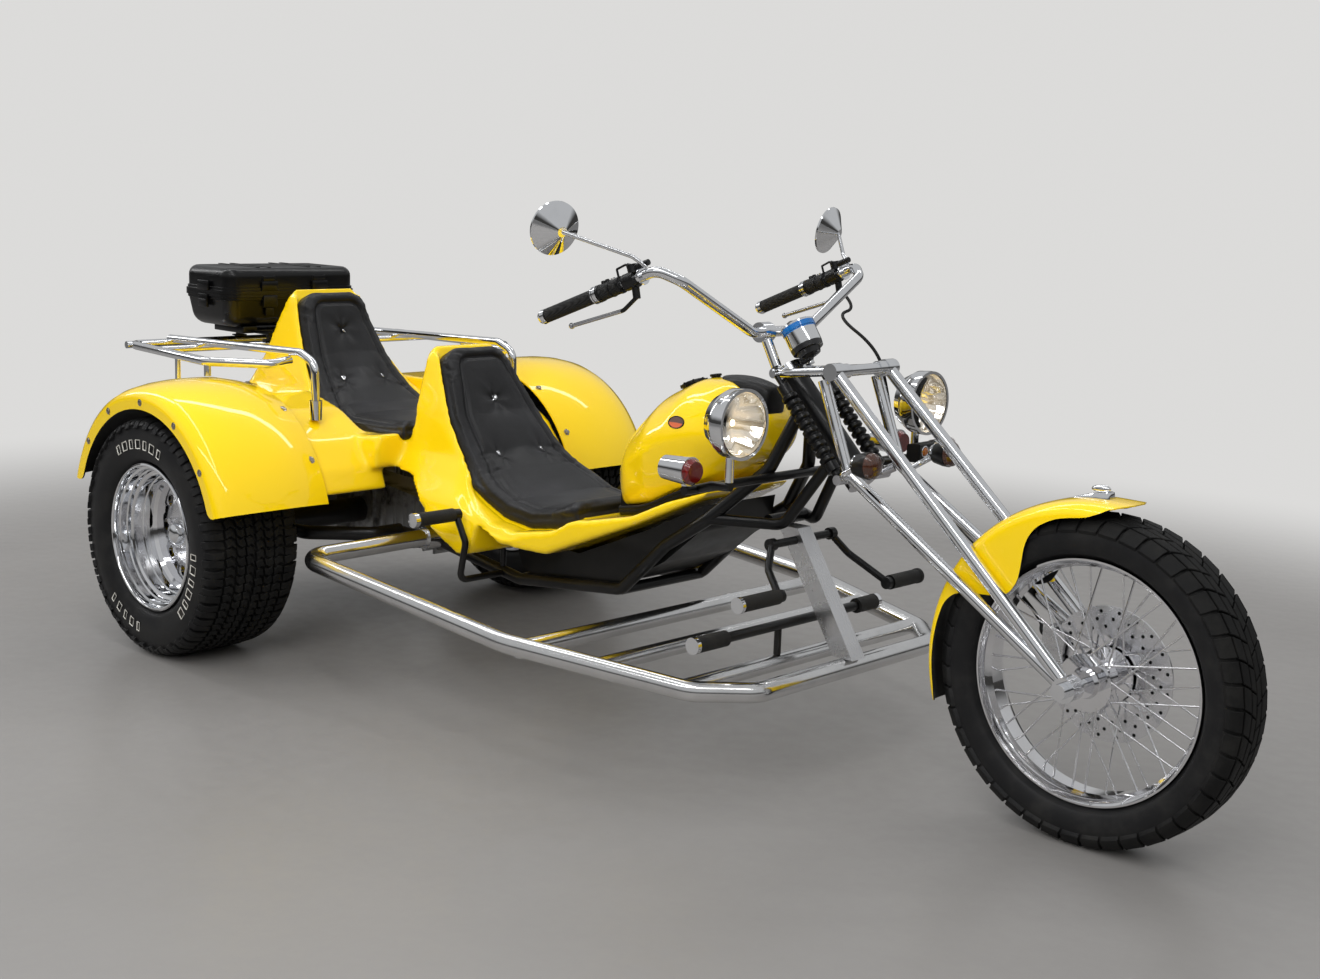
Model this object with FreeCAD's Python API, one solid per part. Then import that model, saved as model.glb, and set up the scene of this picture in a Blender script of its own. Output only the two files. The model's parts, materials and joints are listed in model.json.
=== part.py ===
# Three-wheeled motor trike: one front wheel in a raked girder fork, two wide rear wheels,
# a rear engine, two seats in line, a nerf-bar foot frame and a lidded luggage case.
# Millimetres. X forward, Y left, Z up from the floor. Lengths along X are written from
# the rear axle; save() moves every part so the middle of the whole length lies at X = 0.
import FreeCAD, Part
import math
import os

V = FreeCAD.Vector
os.makedirs("parts", exist_ok=True)

# ---- driving dimensions ------------------------------------------------------------
WHEEL_BASE = 2500.0
FRONT_TYRE_R = 355.0
FRONT_TYRE_W = 145.0
FRONT_RIM_R = 264.0
FRONT_RIM_W = 100.0
FRONT_AXLE_R = 10.0
FRONT_AXLE_Z = FRONT_TYRE_R
REAR_TYRE_R = 338.0
REAR_TYRE_W = 295.0
REAR_RIM_R = 207.5
REAR_RIM_W = 254.0
REAR_TRACK_HALF = 655.0
REAR_AXLE_Z = REAR_TYRE_R
STUB_R = 24.0
RUN_FIT = 0.05            # radial clearance of every turning fit
SEAT_GAP = 0.3            # clearance between a part and what carries it
TAIL = 735.0              # rear end of the luggage case hinge, behind the rear axle
MID_X = (WHEEL_BASE + FRONT_TYRE_R - TAIL) / 2

RAKE = math.radians(45.0)
# the layout below is written for a 2500 mm wheel base; laid() moves it for another one
FRONT_AXLE_X = 2500.0
LONGER = WHEEL_BASE - FRONT_AXLE_X
STRETCH_FROM, STRETCH_TO = 950.0, 1400.0
BARS_ABOVE = 900.0
AXIS_X = 1745.0           # a point on the steering axis, middle of the head tube
AXIS_Z = 805.0
UP = V(-math.sin(RAKE), 0, math.cos(RAKE))
FWD = V(math.cos(RAKE), 0, math.sin(RAKE))
HEAD_HALF = 140.0         # half length of the head tube
HEAD_R = 32.0
STEM_R = 16.0


def save(shape, name):
    out = shape.copy()
    out.translate(V(-MID_X, 0, 0))
    out.exportStep("parts/" + name + ".step")


def laid(p):
    """Place of a written point: what lies ahead of the rider moves with the front axle."""
    share = min(max((p[0] - STRETCH_FROM) / (STRETCH_TO - STRETCH_FROM), 0.0), 1.0)
    if p[2] > BARS_ABOVE and p[0] > STRETCH_FROM:
        share = 1.0
    return V(p[0] + LONGER * share, p[1], p[2])


def fuse(shapes):
    shapes = [s for s in shapes]
    if len(shapes) == 1:
        return shapes[0]
    return shapes[0].multiFuse(shapes[1:]).removeSplitter()


def mirror(shape):
    return shape.mirror(V(0, 0, 0), V(0, 1, 0))


def both(shape):
    return [shape, mirror(shape)]


def rod(a, b, r, r2=None):
    a, b = laid(a), laid(b)
    d = b - a
    if r2 is None or abs(r2 - r) < 1e-6:
        return Part.makeCylinder(r, d.Length, a, d)
    return Part.makeCone(r, r2, d.Length, a, d)


def ball(c, r):
    return Part.makeSphere(r, laid(c))


def box(x0, x1, y0, y1, z0, z1):
    low, high = laid((x0, y0, z0)), laid((x1, y1, z0))
    return Part.makeBox(high.x - low.x, y1 - y0, z1 - z0, low)


def rounded_edges(points, bend, closed=False):
    """Straight runs joined by tangent arcs; bend is one radius or one per corner."""
    pts = [laid(p) for p in points]
    n = len(pts)
    corners = range(n) if closed else range(1, n - 1)
    cut = {}
    for i in corners:
        r = bend[i] if isinstance(bend, (list, tuple)) else bend
        p, a, b = pts[i], pts[i - 1], pts[(i + 1) % n]
        u, w = (a - p).normalize(), (b - p).normalize()
        ang = math.acos(max(-1.0, min(1.0, u.dot(w))))
        if r <= 0 or ang > math.pi - 1e-4:
            cut[i] = (p, p, None)
            continue
        t = r / math.tan(ang / 2)
        mid = (u + w).normalize()
        c = p + mid * (r / math.sin(ang / 2))
        cut[i] = (p + u * t, p + w * t, c - mid * r)
    edges = []
    first = cut[0][1] if closed else pts[0]
    here = first
    order = list(range(1, n)) + ([0] if closed else [])
    for i in order:
        if i in cut:
            s, e, m = cut[i]
        else:
            s, e, m = pts[i], pts[i], None
        if (s - here).Length > 1e-6:
            edges.append(Part.makeLine(here, s))
        if m is not None:
            edges.append(Part.Arc(s, m, e).toShape())
        here = e
    return edges


def tube(points, r, bend=40.0):
    """Round bar along straight runs with tangent bends."""
    edges = rounded_edges(points, bend)
    wire = Part.Wire(edges)
    d = laid(points[1]) - laid(points[0])
    ring = Part.Wire(Part.makeCircle(r, laid(points[0]), d))
    return wire.makePipeShell([ring], True, False)


def flat(points, bend=0.0, y=0.0):
    """Closed face in the XZ plane from (x, z) points with rounded corners."""
    return Part.Face(Part.Wire(rounded_edges([(p[0], y, p[1]) for p in points], bend, True)))


def slab(points, y0, y1, bend=0.0):
    return flat(points, bend, y0).extrude(V(0, y1 - y0, 0))


def spin(section, cx, cz, a0=0.0, a1=360.0):
    """Turn a closed (y, r) section about a Y line through (cx, cz); angle 0 points forward."""
    cx = laid((cx, 0, cz)).x
    rows = [(cx + r, y, cz) for y, r in section]
    face = Part.Face(Part.Wire([Part.makeLine(V(*rows[i - 1]), V(*rows[i])) for i in range(len(rows))]))
    axis = V(0, -1, 0)
    if a0:
        face.rotate(V(cx, 0, cz), axis, a0)
    return face.revolve(V(cx, 0, cz), axis, a1 - a0)


def shift_line(line, d):
    """Open polyline in XZ moved sideways by d, to the left of its run."""
    out = []
    for i, p in enumerate(line):
        a = line[max(i - 1, 0)]
        b = line[min(i + 1, len(line) - 1)]
        dx, dz = b[0] - a[0], b[1] - a[1]
        n = math.hypot(dx, dz)
        out.append((p[0] - dz / n * d, p[1] + dx / n * d))
    return out


def on_axis(s, t, y=0.0):
    """Point s up the steering axis and t ahead of it."""
    p = V(AXIS_X, y, AXIS_Z) + UP * s + FWD * t
    return (p.x, p.y, p.z)


# ---- wheels ------------------------------------------------------------------------
def ring_tyre(cx, cy, cz, outer, width, bead, rim_half, crown, name):
    """Closed tyre ring: flat tread, round shoulders, bulged walls, seated on its rim."""
    h = width / 2
    wall = bead + (outer - bead) * 0.42
    rows = [(-rim_half, bead), (-h + 6, bead + (outer - bead) * 0.16), (-h, wall),
            (-h + 3, wall + (outer - wall) * 0.45), (-crown, outer - 8), (-crown * 0.72, outer),
            (crown * 0.72, outer), (crown, outer - 8), (h - 3, wall + (outer - wall) * 0.45),
            (h, wall), (h - 6, bead + (outer - bead) * 0.16), (rim_half, bead)]
    save(spin([(cy + y, r) for y, r in rows], cx, cz), name)


def rear_wheel(side, name):
    """Wide dished wheel: outer lip, stepped barrel, windowed centre disc, hub and nuts."""
    half = REAR_RIM_W / 2
    lip = REAR_RIM_R - SEAT_GAP
    rows = [(-half, lip - 7), (-half, lip), (half, lip), (half, lip - 7), (half - 40, lip - 13),
            (half - 52, lip - 33), (half - 110, lip - 33), (half - 120, lip - 40), (-half + 60, lip - 40),
            (-half + 45, lip - 14)]
    barrel = spin([(side * (REAR_TRACK_HALF + y), r) for y, r in rows], 0, REAR_AXLE_Z)
    y_disc = REAR_TRACK_HALF + half - 128
    disc_rows = [(y_disc, 40), (y_disc + 8, 40), (y_disc + 8, 92), (y_disc - 2, 128), (y_disc - 2, lip - 39),
                 (y_disc - 10, lip - 39), (y_disc - 10, 124), (y_disc, 88)]
    disc = spin([(side * y, r) for y, r in disc_rows], 0, REAR_AXLE_Z)
    holes = []
    for i in range(10):
        a = math.radians(36 * i)
        c = (128 * math.cos(a), REAR_AXLE_Z + 128 * math.sin(a))
        holes.append(rod((c[0], side * (y_disc - 40), c[1]), (c[0], side * (y_disc + 30), c[1]), 17))
    disc = disc.cut(Part.makeCompound(holes))
    hub_rows = [(y_disc - 22, STUB_R + RUN_FIT), (y_disc + 30, STUB_R + RUN_FIT), (y_disc + 30, 42),
                (y_disc + 10, 44), (y_disc + 8, 60), (y_disc - 22, 60)]
    parts = [barrel, disc, spin([(side * y, r) for y, r in hub_rows], 0, REAR_AXLE_Z)]
    for i in range(5):
        a = math.radians(72 * i + 18)
        c = (72 * math.cos(a), REAR_AXLE_Z + 72 * math.sin(a))
        parts.append(rod((c[0], side * (y_disc + 4), c[1]), (c[0], side * (y_disc + 26), c[1]), 9))
    save(fuse(parts), name)


SPOKES = 40
SPOKE_R = 2.2
HUB_FLANGE_R = 62.0
HUB_HALF = 42.0
DISC_R = 148.0


def front_wheel():
    """Laced wheel: hoop rim, flanged hub on a running bore, forty spokes, brake disc on the left."""
    cx, cz = FRONT_AXLE_X, FRONT_AXLE_Z
    half, lip = FRONT_RIM_W / 2, FRONT_RIM_R - SEAT_GAP
    rim_rows = [(-half, lip), (half, lip), (half, lip - 4), (half - 14, lip - 7), (20, lip - 20),
                (-20, lip - 20), (-half + 14, lip - 7), (-half, lip - 4)]
    hub_rows = [(-HUB_HALF - 16, FRONT_AXLE_R + RUN_FIT), (HUB_HALF + 18, FRONT_AXLE_R + RUN_FIT),
                (HUB_HALF + 18, 30), (HUB_HALF + 4, 34), (HUB_HALF + 4, HUB_FLANGE_R), (HUB_HALF - 4, HUB_FLANGE_R),
                (HUB_HALF - 12, 36), (-HUB_HALF + 12, 36), (-HUB_HALF + 4, HUB_FLANGE_R),
                (-HUB_HALF - 4, HUB_FLANGE_R), (-HUB_HALF - 4, 34), (-HUB_HALF - 16, 30)]
    parts = [spin(rim_rows, cx, cz), spin(hub_rows, cx, cz)]
    disc_y = HUB_HALF + 11
    parts.append(spin([(disc_y, 30), (disc_y + 6, 30), (disc_y + 6, 92), (disc_y, 92)], cx, cz))
    parts.append(spin([(disc_y + 1, 90), (disc_y + 6, 90), (disc_y + 6, DISC_R), (disc_y + 1, DISC_R)], cx, cz))
    for i in range(SPOKES):
        side = 1 if i % 2 else -1
        lean = 1 if (i // 2) % 2 else -1
        hub_a = math.radians(360.0 / SPOKES * i + lean * 34.0)
        rim_a = math.radians(360.0 / SPOKES * i)
        y0 = side * (HUB_HALF + (2.4 if lean > 0 else -2.4))
        a = (cx + (HUB_FLANGE_R - 5) * math.cos(hub_a), y0, cz + (HUB_FLANGE_R - 5) * math.sin(hub_a))
        b = (cx + (lip - 17) * math.cos(rim_a), side * 9, cz + (lip - 17) * math.sin(rim_a))
        parts.append(rod(a, b, SPOKE_R))
    save(fuse(parts), "front_wheel")


# ---- body --------------------------------------------------------------------------
SHELL_HALF = 268.0
# edge line of each seat opening, seen from the side, from the top of the back forward
REAR_SEAT_LINE = [(-258, 980), (-218, 890), (-159, 790), (-119, 741), (-58, 686), (12, 640), (90, 617),
                  (300, 622), (388, 633)]
FRONT_SEAT_LINE = [(436, 868), (487, 787), (553, 687), (640, 587), (705, 537), (768, 505), (840, 476),
                   (940, 466), (1060, 486), (1120, 508)]
FRONT_BACK_LINE = [(396, 660), (392, 740), (386, 810), (382, 856), (398, 882)]
SHELL_LOW_LINE = [(1520, 628), (1500, 606), (1304, 510), (1053, 402), (906, 408), (846, 440), (812, 455),
                  (798, 364), (741, 354), (637, 402), (581, 446), (525, 486), (454, 524), (323, 541), (95, 531),
                  (-20, 560), (-400, 600)]
SHELL_REAR_LINE = [(-440, 650), (-412, 700), (-380, 780), (-356, 850), (-330, 915), (-306, 965), (-284, 994)]
# half width of the tub at heights up its side, behind and ahead of the front seat's back
REAR_SECTION = [(300, 340), (300, 560), (276, 625), (196, 700), (160, 790), (140, 890), (116, 1008)]
REAR_BEND = [0, 0, 40, 60, 80, 80, 60]
FRONT_SECTION = [(300, 340), (300, 400), (270, 480), (222, 535), (186, 590), (165, 700), (114, 886)]
FRONT_BEND = [0, 60, 60, 60, 80, 200, 60]
SECTION_SPLIT = 380.0
# height and half width of each seat, seen from the front
REAR_SEAT_WIDTH = [(500, 200), (645, 200), (700, 170), (800, 147), (1004, 108)]
FRONT_SEAT_WIDTH = [(380, 206), (525, 206), (580, 176), (700, 157), (880, 106)]
SEAT_BEND = [0, 60, 60, 200, 66]
SEAT_HALF = 214.0
SEAT_DEPTH = 20.0
SEAT_PROUD = 22.0


def seat_outline(rows, grow, lift=0.0):
    """Front view of a seat, extruded along X: wide at the base, leaning in to a rounded top."""
    bend = SEAT_BEND
    if lift:
        rows = [(rows[0][0] - lift, rows[0][1])] + rows[1:] + [(rows[-1][0] + lift, rows[-1][1])]
        bend = SEAT_BEND[:-1] + [0, 0]
    pts = [(-h - grow, z) for z, h in rows] + [(h + grow, z) for z, h in rows[::-1]]
    wire = Part.Wire(rounded_edges([(0, y, z) for y, z in pts], bend + bend[::-1], True))
    face = Part.Face(wire)
    face.translate(V(-600, 0, 0))
    return face.extrude(V(2200 + max(LONGER, 0.0), 0, 0))


def seat_body(line):
    pts = shift_line(line, SEAT_PROUD) + shift_line(line, -SEAT_DEPTH)[::-1]
    return slab(pts, -SEAT_HALF, SEAT_HALF)


def seat_pocket(line):
    under = shift_line(line, -SEAT_DEPTH - SEAT_GAP)
    pts = under + [(under[-1][0], 1100), (under[0][0] - 40, 1100)]
    return slab(pts, -SEAT_HALF - SEAT_GAP, SEAT_HALF + SEAT_GAP)


def seats():
    """Two one-piece seats, back and base in one curve, each bedded in its opening."""
    rear = seat_body(REAR_SEAT_LINE)
    rear = rear.common(seat_outline(REAR_SEAT_WIDTH, 0))
    front = seat_body(FRONT_SEAT_LINE)
    front = front.common(seat_outline(FRONT_SEAT_WIDTH, 0))
    save(rear, "seat_rear")
    save(front, "seat_front")


def body_shell():
    """Yellow tub: side profile, plan taper to the nose, seat openings, side pods by the wheels."""
    side = SHELL_REAR_LINE + REAR_SEAT_LINE + FRONT_BACK_LINE
    side = side + FRONT_SEAT_LINE + [(1160, 506), (1300, 536), (1400, 586)] + SHELL_LOW_LINE
    tub = slab(side, -330, 330)
    plan = [(-460, -SHELL_HALF + 40), (-330, -SHELL_HALF), (480, -SHELL_HALF - 26), (900, -SHELL_HALF - 26),
            (1160, -SHELL_HALF + 28), (1540, -150)]
    plan = plan + [(x, -y) for x, y in plan[::-1]]
    wire = Part.Wire(rounded_edges([(x, y, 300) for x, y in plan], [30, 150, 300, 300, 300, 20] * 2, True))
    tub = tub.common(Part.Face(wire).extrude(V(0, 0, 800)))
    halves = []
    for x0, x1, rows, bend in ((-460, SECTION_SPLIT, REAR_SECTION, REAR_BEND),
                               (SECTION_SPLIT, 1560, FRONT_SECTION, FRONT_BEND)):
        rows = [(-y, z) for y, z in rows] + rows[::-1]
        wire = Part.Wire(rounded_edges([(x0, y, z) for y, z in rows], bend + bend[::-1], True))
        halves.append(tub.common(Part.Face(wire).extrude(laid((x1, 0, 0)) - laid((x0, 0, 0)))))
    tub = fuse(halves)
    for line, width in ((REAR_SEAT_LINE, REAR_SEAT_WIDTH), (FRONT_SEAT_LINE, FRONT_SEAT_WIDTH)):
        tub = tub.cut(seat_pocket(line).common(seat_outline(width, SEAT_GAP, 90)))
    pod = slab([(-400, 520), (-410, 640), (-320, 712), (0, 716), (150, 680), (280, 615), (345, 540), (375, 470),
                (240, 500), (0, 540)], 240, 455, [0, 40, 200, 200, 200, 100, 60, 0, 0, 0])
    save(fuse([tub] + both(pod)), "body_shell")


def rear_fender(side, name):
    """Broad arch over a rear wheel: flat outer band, crease, crown, inner edge on the side pod."""
    outer = [(805, 352), (806, 388), (768, 412), (670, 428), (560, 428), (455.3, 404)]
    inner = [(455.3, 399), (560, 423), (670, 423), (766, 407), (801, 385), (800, 352)]
    sheet = spin([(side * y, r) for y, r in outer + inner], 0, 345, 16, 163)
    save(sheet, name)


def fuel_tank():
    """Teardrop tank, round in section, tapering down to the rear between the rider's knees."""
    stations = [  # x, low z, high z, half width
        (1136, 548, 610, 46), (1152, 542, 680, 96), (1200, 545, 758, 136), (1290, 568, 838, 166),
        (1390, 614, 884, 178), (1480, 660, 884, 168), (1560, 690, 852, 132), (1600, 716, 806, 74)]
    wires = []
    for x, low, high, w in stations:
        wires.append(tank_ring(x, low, low + (high - low) * 0.42, high, w))
    return Part.makeLoft(wires, True, True)


def tank_ring(x, low, mid, high, w):
    """Closed station: upper half tall and round, lower half flatter, from six arcs."""
    up, dn, k = high - mid, mid - low, math.sqrt(0.5)
    p = [V(x, w, mid), V(x, w * k, mid + up * k), V(x, 0, high), V(x, -w * k, mid + up * k), V(x, -w, mid),
         V(x, -w * k, mid - dn * k), V(x, 0, low), V(x, w * k, mid - dn * k)]
    p = [laid(v) for v in p]
    edges = [Part.Arc(p[0], p[1], p[2]).toShape(), Part.Arc(p[2], p[3], p[4]).toShape(),
             Part.Arc(p[4], p[5], p[6]).toShape(), Part.Arc(p[6], p[7], p[0]).toShape()]
    return Part.Wire(edges)


RAIL_Y = 150.0            # half spacing of the lower frame rails


def tank_trim():
    """Rubber pad between the tank and the nose of the body, shaped to both."""
    tank = fuel_tank()
    pts = [(1165, 508 + SEAT_GAP), (1300, 536 + SEAT_GAP), (1400, 586 + SEAT_GAP), (1470, 610.5 + SEAT_GAP),
           (1470, 680), (1165, 640)]
    pad = slab(pts, -96, 96)
    low = tank.copy()
    low.translate(V(0, 0, -SEAT_GAP))
    pad = pad.cut(tank).cut(low)
    keep = sorted(pad.Solids, key=lambda k: k.BoundBox.ZMin)
    save(keep[0], "tank_trim")


def belly_pan():
    """Black underpan below the rider, from behind the front seat to the front post."""
    pts = [(845, 425), (812, 360), (838, 300), (1093, 312), (1222, 344), (1361, 422), (1480, 520), (1490, 585),
           (1304, 495), (1053, 390), (906, 396)]
    pan = slab(pts, -RAIL_Y + 16 + SEAT_GAP, RAIL_Y - 16 - SEAT_GAP, [0, 20, 60, 80, 120, 60, 20, 0, 0, 0, 0])
    for x, z in ((1230, 330), (840, 285)):
        pan = pan.cut(rod((x, -150, z), (x, 150, z), 14 + SEAT_GAP))
    save(pan, "belly_pan")


# ---- frame and running gear ----------------------------------------------------------
def frame_main():
    """Head tube, backbone and lower rails to the rear cross beam."""
    head = rod(on_axis(-HEAD_HALF, 0), on_axis(HEAD_HALF, 0), HEAD_R)
    neck = [head]
    for y in (-RAIL_Y, RAIL_Y):
        neck.append(tube([(1690, y * 0.1, 850), (1640, y * 0.5, 690), (1520, y, 560), (1380, y, 470),
                          (1230, y, 330), (840, y, 285), (500, y, 330), (300, y, 330)], 16, 60))
        neck.append(tube([(1800, y * 0.1, 752), (1680, y * 0.4, 560), (1520, y, 560)], 14, 40))
    neck.append(rod((1640, -68, 565), (1640, 68, 565), 15))
    for x, z in ((1230, 330), (840, 285), (500, 330)):
        neck.append(rod((x, -RAIL_Y, z), (x, RAIL_Y, z), 14))
    for y in (-RAIL_Y, RAIL_Y):
        neck.append(rod((770, y, 300), (770, y, 357.6 - SEAT_GAP), 8))
        neck.append(rod((500, y * 0.8, 330), (500, y * 0.8, 494.4 - SEAT_GAP), 9))
    bore = rod(on_axis(-HEAD_HALF - 20, 0), on_axis(HEAD_HALF + 20, 0), STEM_R + RUN_FIT)
    save(fuse(neck).cut(bore), "frame_main")


def front_post():
    """Polished box-section post from the frame down to the foot frame."""
    post = slab([(1636, 549.7), (1696, 549.7), (1880, 260.3), (1820, 260.3)], -25, 25)
    save(post, "front_post")


RAIL_R = 24.0
FOOT_RAIL = [(500, -210, 350), (462, -590, 335), (1270, -577, 270), (1745, -440, 236), (1850, -330, 236)]


def foot_frame():
    """Polished side rails meeting in a front cross tube, with three cross tubes behind."""
    pts = FOOT_RAIL + [(x, -y, z) for x, y, z in FOOT_RAIL[::-1]]
    rail = tube(pts, RAIL_R, [0, 60, 200, 80, 70, 70, 80, 200, 60, 0])
    parts = [rail]
    for x, z, r, half in ((1310, 262, 22, 571), (1500, 250, 20, 510), (1720, 238, 20, 450)):
        parts.append(rod((x, -half, z), (x, half, z), r))
    for side in (-1, 1):
        parts.append(rod((500, side * 214, 350), (500, side * (RAIL_Y + 16 + SEAT_GAP), 350), 34))
    save(fuse(parts), "foot_frame")


def rear_axle():
    """Cross beam with a stub at each end for the rear wheels, and trailing arms forward."""
    y_disc = REAR_TRACK_HALF + REAR_RIM_W / 2 - 128
    parts = [rod((0, -y_disc - 28, REAR_AXLE_Z), (0, y_disc + 28, REAR_AXLE_Z), STUB_R)]
    parts.append(rod((0, -y_disc + 60, REAR_AXLE_Z), (0, y_disc - 60, REAR_AXLE_Z), 38))
    for side in (-1, 1):
        parts.append(rod((0, side * (y_disc - 26), REAR_AXLE_Z), (0, side * (y_disc - 62), REAR_AXLE_Z), 100))
        parts.append(tube([(0, side * 420, REAR_AXLE_Z), (200, side * 400, 338), (330, side * 260, 338),
                           (330, side * (RAIL_Y + 16 + SEAT_GAP), 338)], 20, 40))
    save(fuse(parts), "rear_axle")


BARREL_FINS = 9
FIN_PITCH = 15.0


def engine():
    """Flat four behind the axle: crankcase, finned barrels, rocker covers, fan shroud and pulleys."""
    parts = [slab([(-420, 260), (-420, 470), (-120, 470), (-60, 440), (-60, 260)], -110, 110, 20)]
    parts.append(slab([(-440, 300), (-430, 250), (-150, 250), (-130, 300)], -120, 120, 16))
    for side in (-1, 1):
        def across(y0, y1):
            return sorted((side * y0, side * y1))
        parts.append(box(-388, -122, *across(108, 268), 348, 422))
        for i in range(BARREL_FINS):
            y = 120 + i * FIN_PITCH
            parts.append(box(-400, -110, *across(y, y + 5), 330, 440))
        parts.append(slab([(-392, 340), (-400, 385), (-392, 430), (-118, 430), (-110, 385), (-118, 340)],
                          *across(264, 290), 14))
        parts.append(tube([(-300, side * 60, 452), (-300, side * 96, 486), (-300, side * 190, 486),
                           (-300, side * 200, 428)], 17, 24))
    shroud = slab([(-230, 436), (-230, 540), (-150, 540), (-150, 436)], -204, 204, 14)
    parts.append(shroud)
    parts.append(rod((-232, 0, 470), (-262, 0, 470), 66, 58))
    parts.append(rod((-262, 0, 470), (-372, 0, 470), 42))
    parts.append(rod((-372, 0, 470), (-400, 0, 470), 46))
    parts.append(rod((-418, 0, 350), (-448, 0, 350), 72))
    save(fuse(parts), "engine")


def gearbox():
    """Ribbed gear case between the frame rails, ahead of the rear axle."""
    line = [(-59.7, 250), (-59.7, 440), (160, 430), (420, 400), (480, 370), (480, 346), (440, 280), (160, 250)]
    case = [slab(line, -66, 66)]
    for x in (-40, 70, 120, 170, 220, 270, 320, 370):
        case.append(box(x, x + 8, -76, 76, 262, 418 - max(0, x - 160) * 0.1))
    case.append(slab([(395, 292), (395, 392), (415, 392), (415, 292)], -84, 84))
    case = fuse(case)
    save(case.cut(rod((0, -80, REAR_AXLE_Z), (0, 80, REAR_AXLE_Z), 38 + SEAT_GAP)), "gearbox")


# ---- steering ------------------------------------------------------------------------
FORK_HALF = 100.0
AXLE_HALF = 112.0
FORK_TOP = (0.030 * 1000, 169.0)
FORK_BACK = (36.0, 139.0)
FORK_KINK = (-165.0, 46.0)
LEG_R = 15.0


def girder_fork():
    """Twin chrome tubes each side, a straight front leg and a kinked rear leg, joined at the axle."""
    parts = []
    for side in (-1, 1):
        y0, y1 = side * FORK_HALF, side * AXLE_HALF
        top = on_axis(FORK_TOP[0], FORK_TOP[1], y0)
        back = on_axis(FORK_BACK[0], FORK_BACK[1] - 8, y0)
        kink = on_axis(FORK_KINK[0], FORK_KINK[1], y0)
        foot = (FRONT_AXLE_X, y1, FRONT_AXLE_Z)
        parts.append(rod(top, foot, LEG_R))
        parts.append(tube([back, kink, (FRONT_AXLE_X - 24, y1, FRONT_AXLE_Z + 8)], LEG_R - 1, 40))
        parts.append(rod((FRONT_AXLE_X, y1 - side * 19, FRONT_AXLE_Z), (FRONT_AXLE_X, y1 + side * 22, FRONT_AXLE_Z), 27))
        parts.append(rod((top[0], y0 - side * 18, top[2]), (top[0], y0 + side * 20, top[2]), 20))
    top = on_axis(FORK_TOP[0], FORK_TOP[1], 0)
    parts.append(rod((top[0], -FORK_HALF, top[2]), (top[0], FORK_HALF, top[2]), 13))
    bore = rod((FRONT_AXLE_X, -160, FRONT_AXLE_Z), (FRONT_AXLE_X, 160, FRONT_AXLE_Z), FRONT_AXLE_R)
    save(fuse(parts).cut(bore), "girder_fork")


def steering_stem():
    """Stem through the head tube with an upper and a lower yoke and the fork links."""
    parts = [rod(on_axis(-HEAD_HALF - 34, 0), on_axis(HEAD_HALF + 34, 0), STEM_R)]
    for s0, s1 in ((HEAD_HALF + 5, HEAD_HALF + 30), (-HEAD_HALF - 30, -HEAD_HALF - 5)):
        parts.append(rod(on_axis(s0, 0), on_axis(s1, 0), 40))
        reach = 74 if s0 > 0 else STRUT_Y + 12
        parts.append(rod(on_axis((s0 + s1) / 2, 6, -reach), on_axis((s0 + s1) / 2, 6, reach), 12))
    s_up = HEAD_HALF + 17
    for side in (-1, 1):
        a = on_axis(s_up, 6, side * 68)
        b = on_axis(FORK_TOP[0], FORK_TOP[1], side * 68)
        parts.append(rod(a, b, 11))
        eye = on_axis(STRUT_TOP[0], STRUT_TOP[1], side * 66)
        parts.append(rod(eye, on_axis(STRUT_TOP[0], STRUT_TOP[1], side * (STRUT_Y + 12)), 9))
        parts.append(rod((b[0], side * 56, b[2]), (b[0], side * (82 - SEAT_GAP), b[2]), 17))
        c = on_axis(-HEAD_HALF - 17, 6, side * 68)
        d = on_axis(FORK_KINK[0], FORK_KINK[1] - 6, side * (FORK_HALF - LEG_R - 1))
        parts.append(rod(c, d, 11))
    cross = on_axis(FORK_TOP[0], FORK_TOP[1], 0)
    cut = rod((cross[0], -90, cross[2]), (cross[0], 90, cross[2]), 13 + SEAT_GAP)
    body = fuse(parts).cut(cut)
    for side in (-1, 1):
        y0, y1 = side * FORK_HALF, side * AXLE_HALF
        back = on_axis(FORK_BACK[0], FORK_BACK[1] - 8, y0)
        kink = on_axis(FORK_KINK[0], FORK_KINK[1], y0)
        body = body.cut(tube([back, kink, (FRONT_AXLE_X - 24, y1, FRONT_AXLE_Z + 8)], LEG_R - 1 + SEAT_GAP, 40))
    save(body, "steering_stem")


def front_axle():
    """Axle through hub and fork feet with a domed nut at each end."""
    parts = [rod((FRONT_AXLE_X, -140, FRONT_AXLE_Z), (FRONT_AXLE_X, 140, FRONT_AXLE_Z), FRONT_AXLE_R - 0.02)]
    for side in (-1, 1):
        parts.append(rod((FRONT_AXLE_X, side * 134.3, FRONT_AXLE_Z), (FRONT_AXLE_X, side * 154.3, FRONT_AXLE_Z), 17))
    save(fuse(parts), "front_axle")


BAR_R = 12.7
BAR = [(1598, 0, 1012), (1592, -100, 1014), (1570, -330, 1138), (1528, -368, 1160), (1400, -378, 1112),
       (1200, -398, 1034)]


def handlebar():
    """Pulled-back bar in one bend each side, on two risers from the upper yoke."""
    pts = [BAR[k] for k in (5, 3, 2, 1)]
    pts = pts + [(x, -y, z) for x, y, z in pts[::-1]]
    parts = [tube(pts, BAR_R, [0, 40, 50, 60, 60, 50, 40, 0])]
    for side in (-1, 1):
        base = on_axis(HEAD_HALF + 17, 6, side * 62)
        parts.append(rod((base[0], base[1], base[2] + 15), (1594, side * 62, 1014), 13))
        parts.append(rod((1594, side * 44, 1014), (1594, side * 80, 1014), 24))
    save(fuse(parts), "handlebar")


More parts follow.
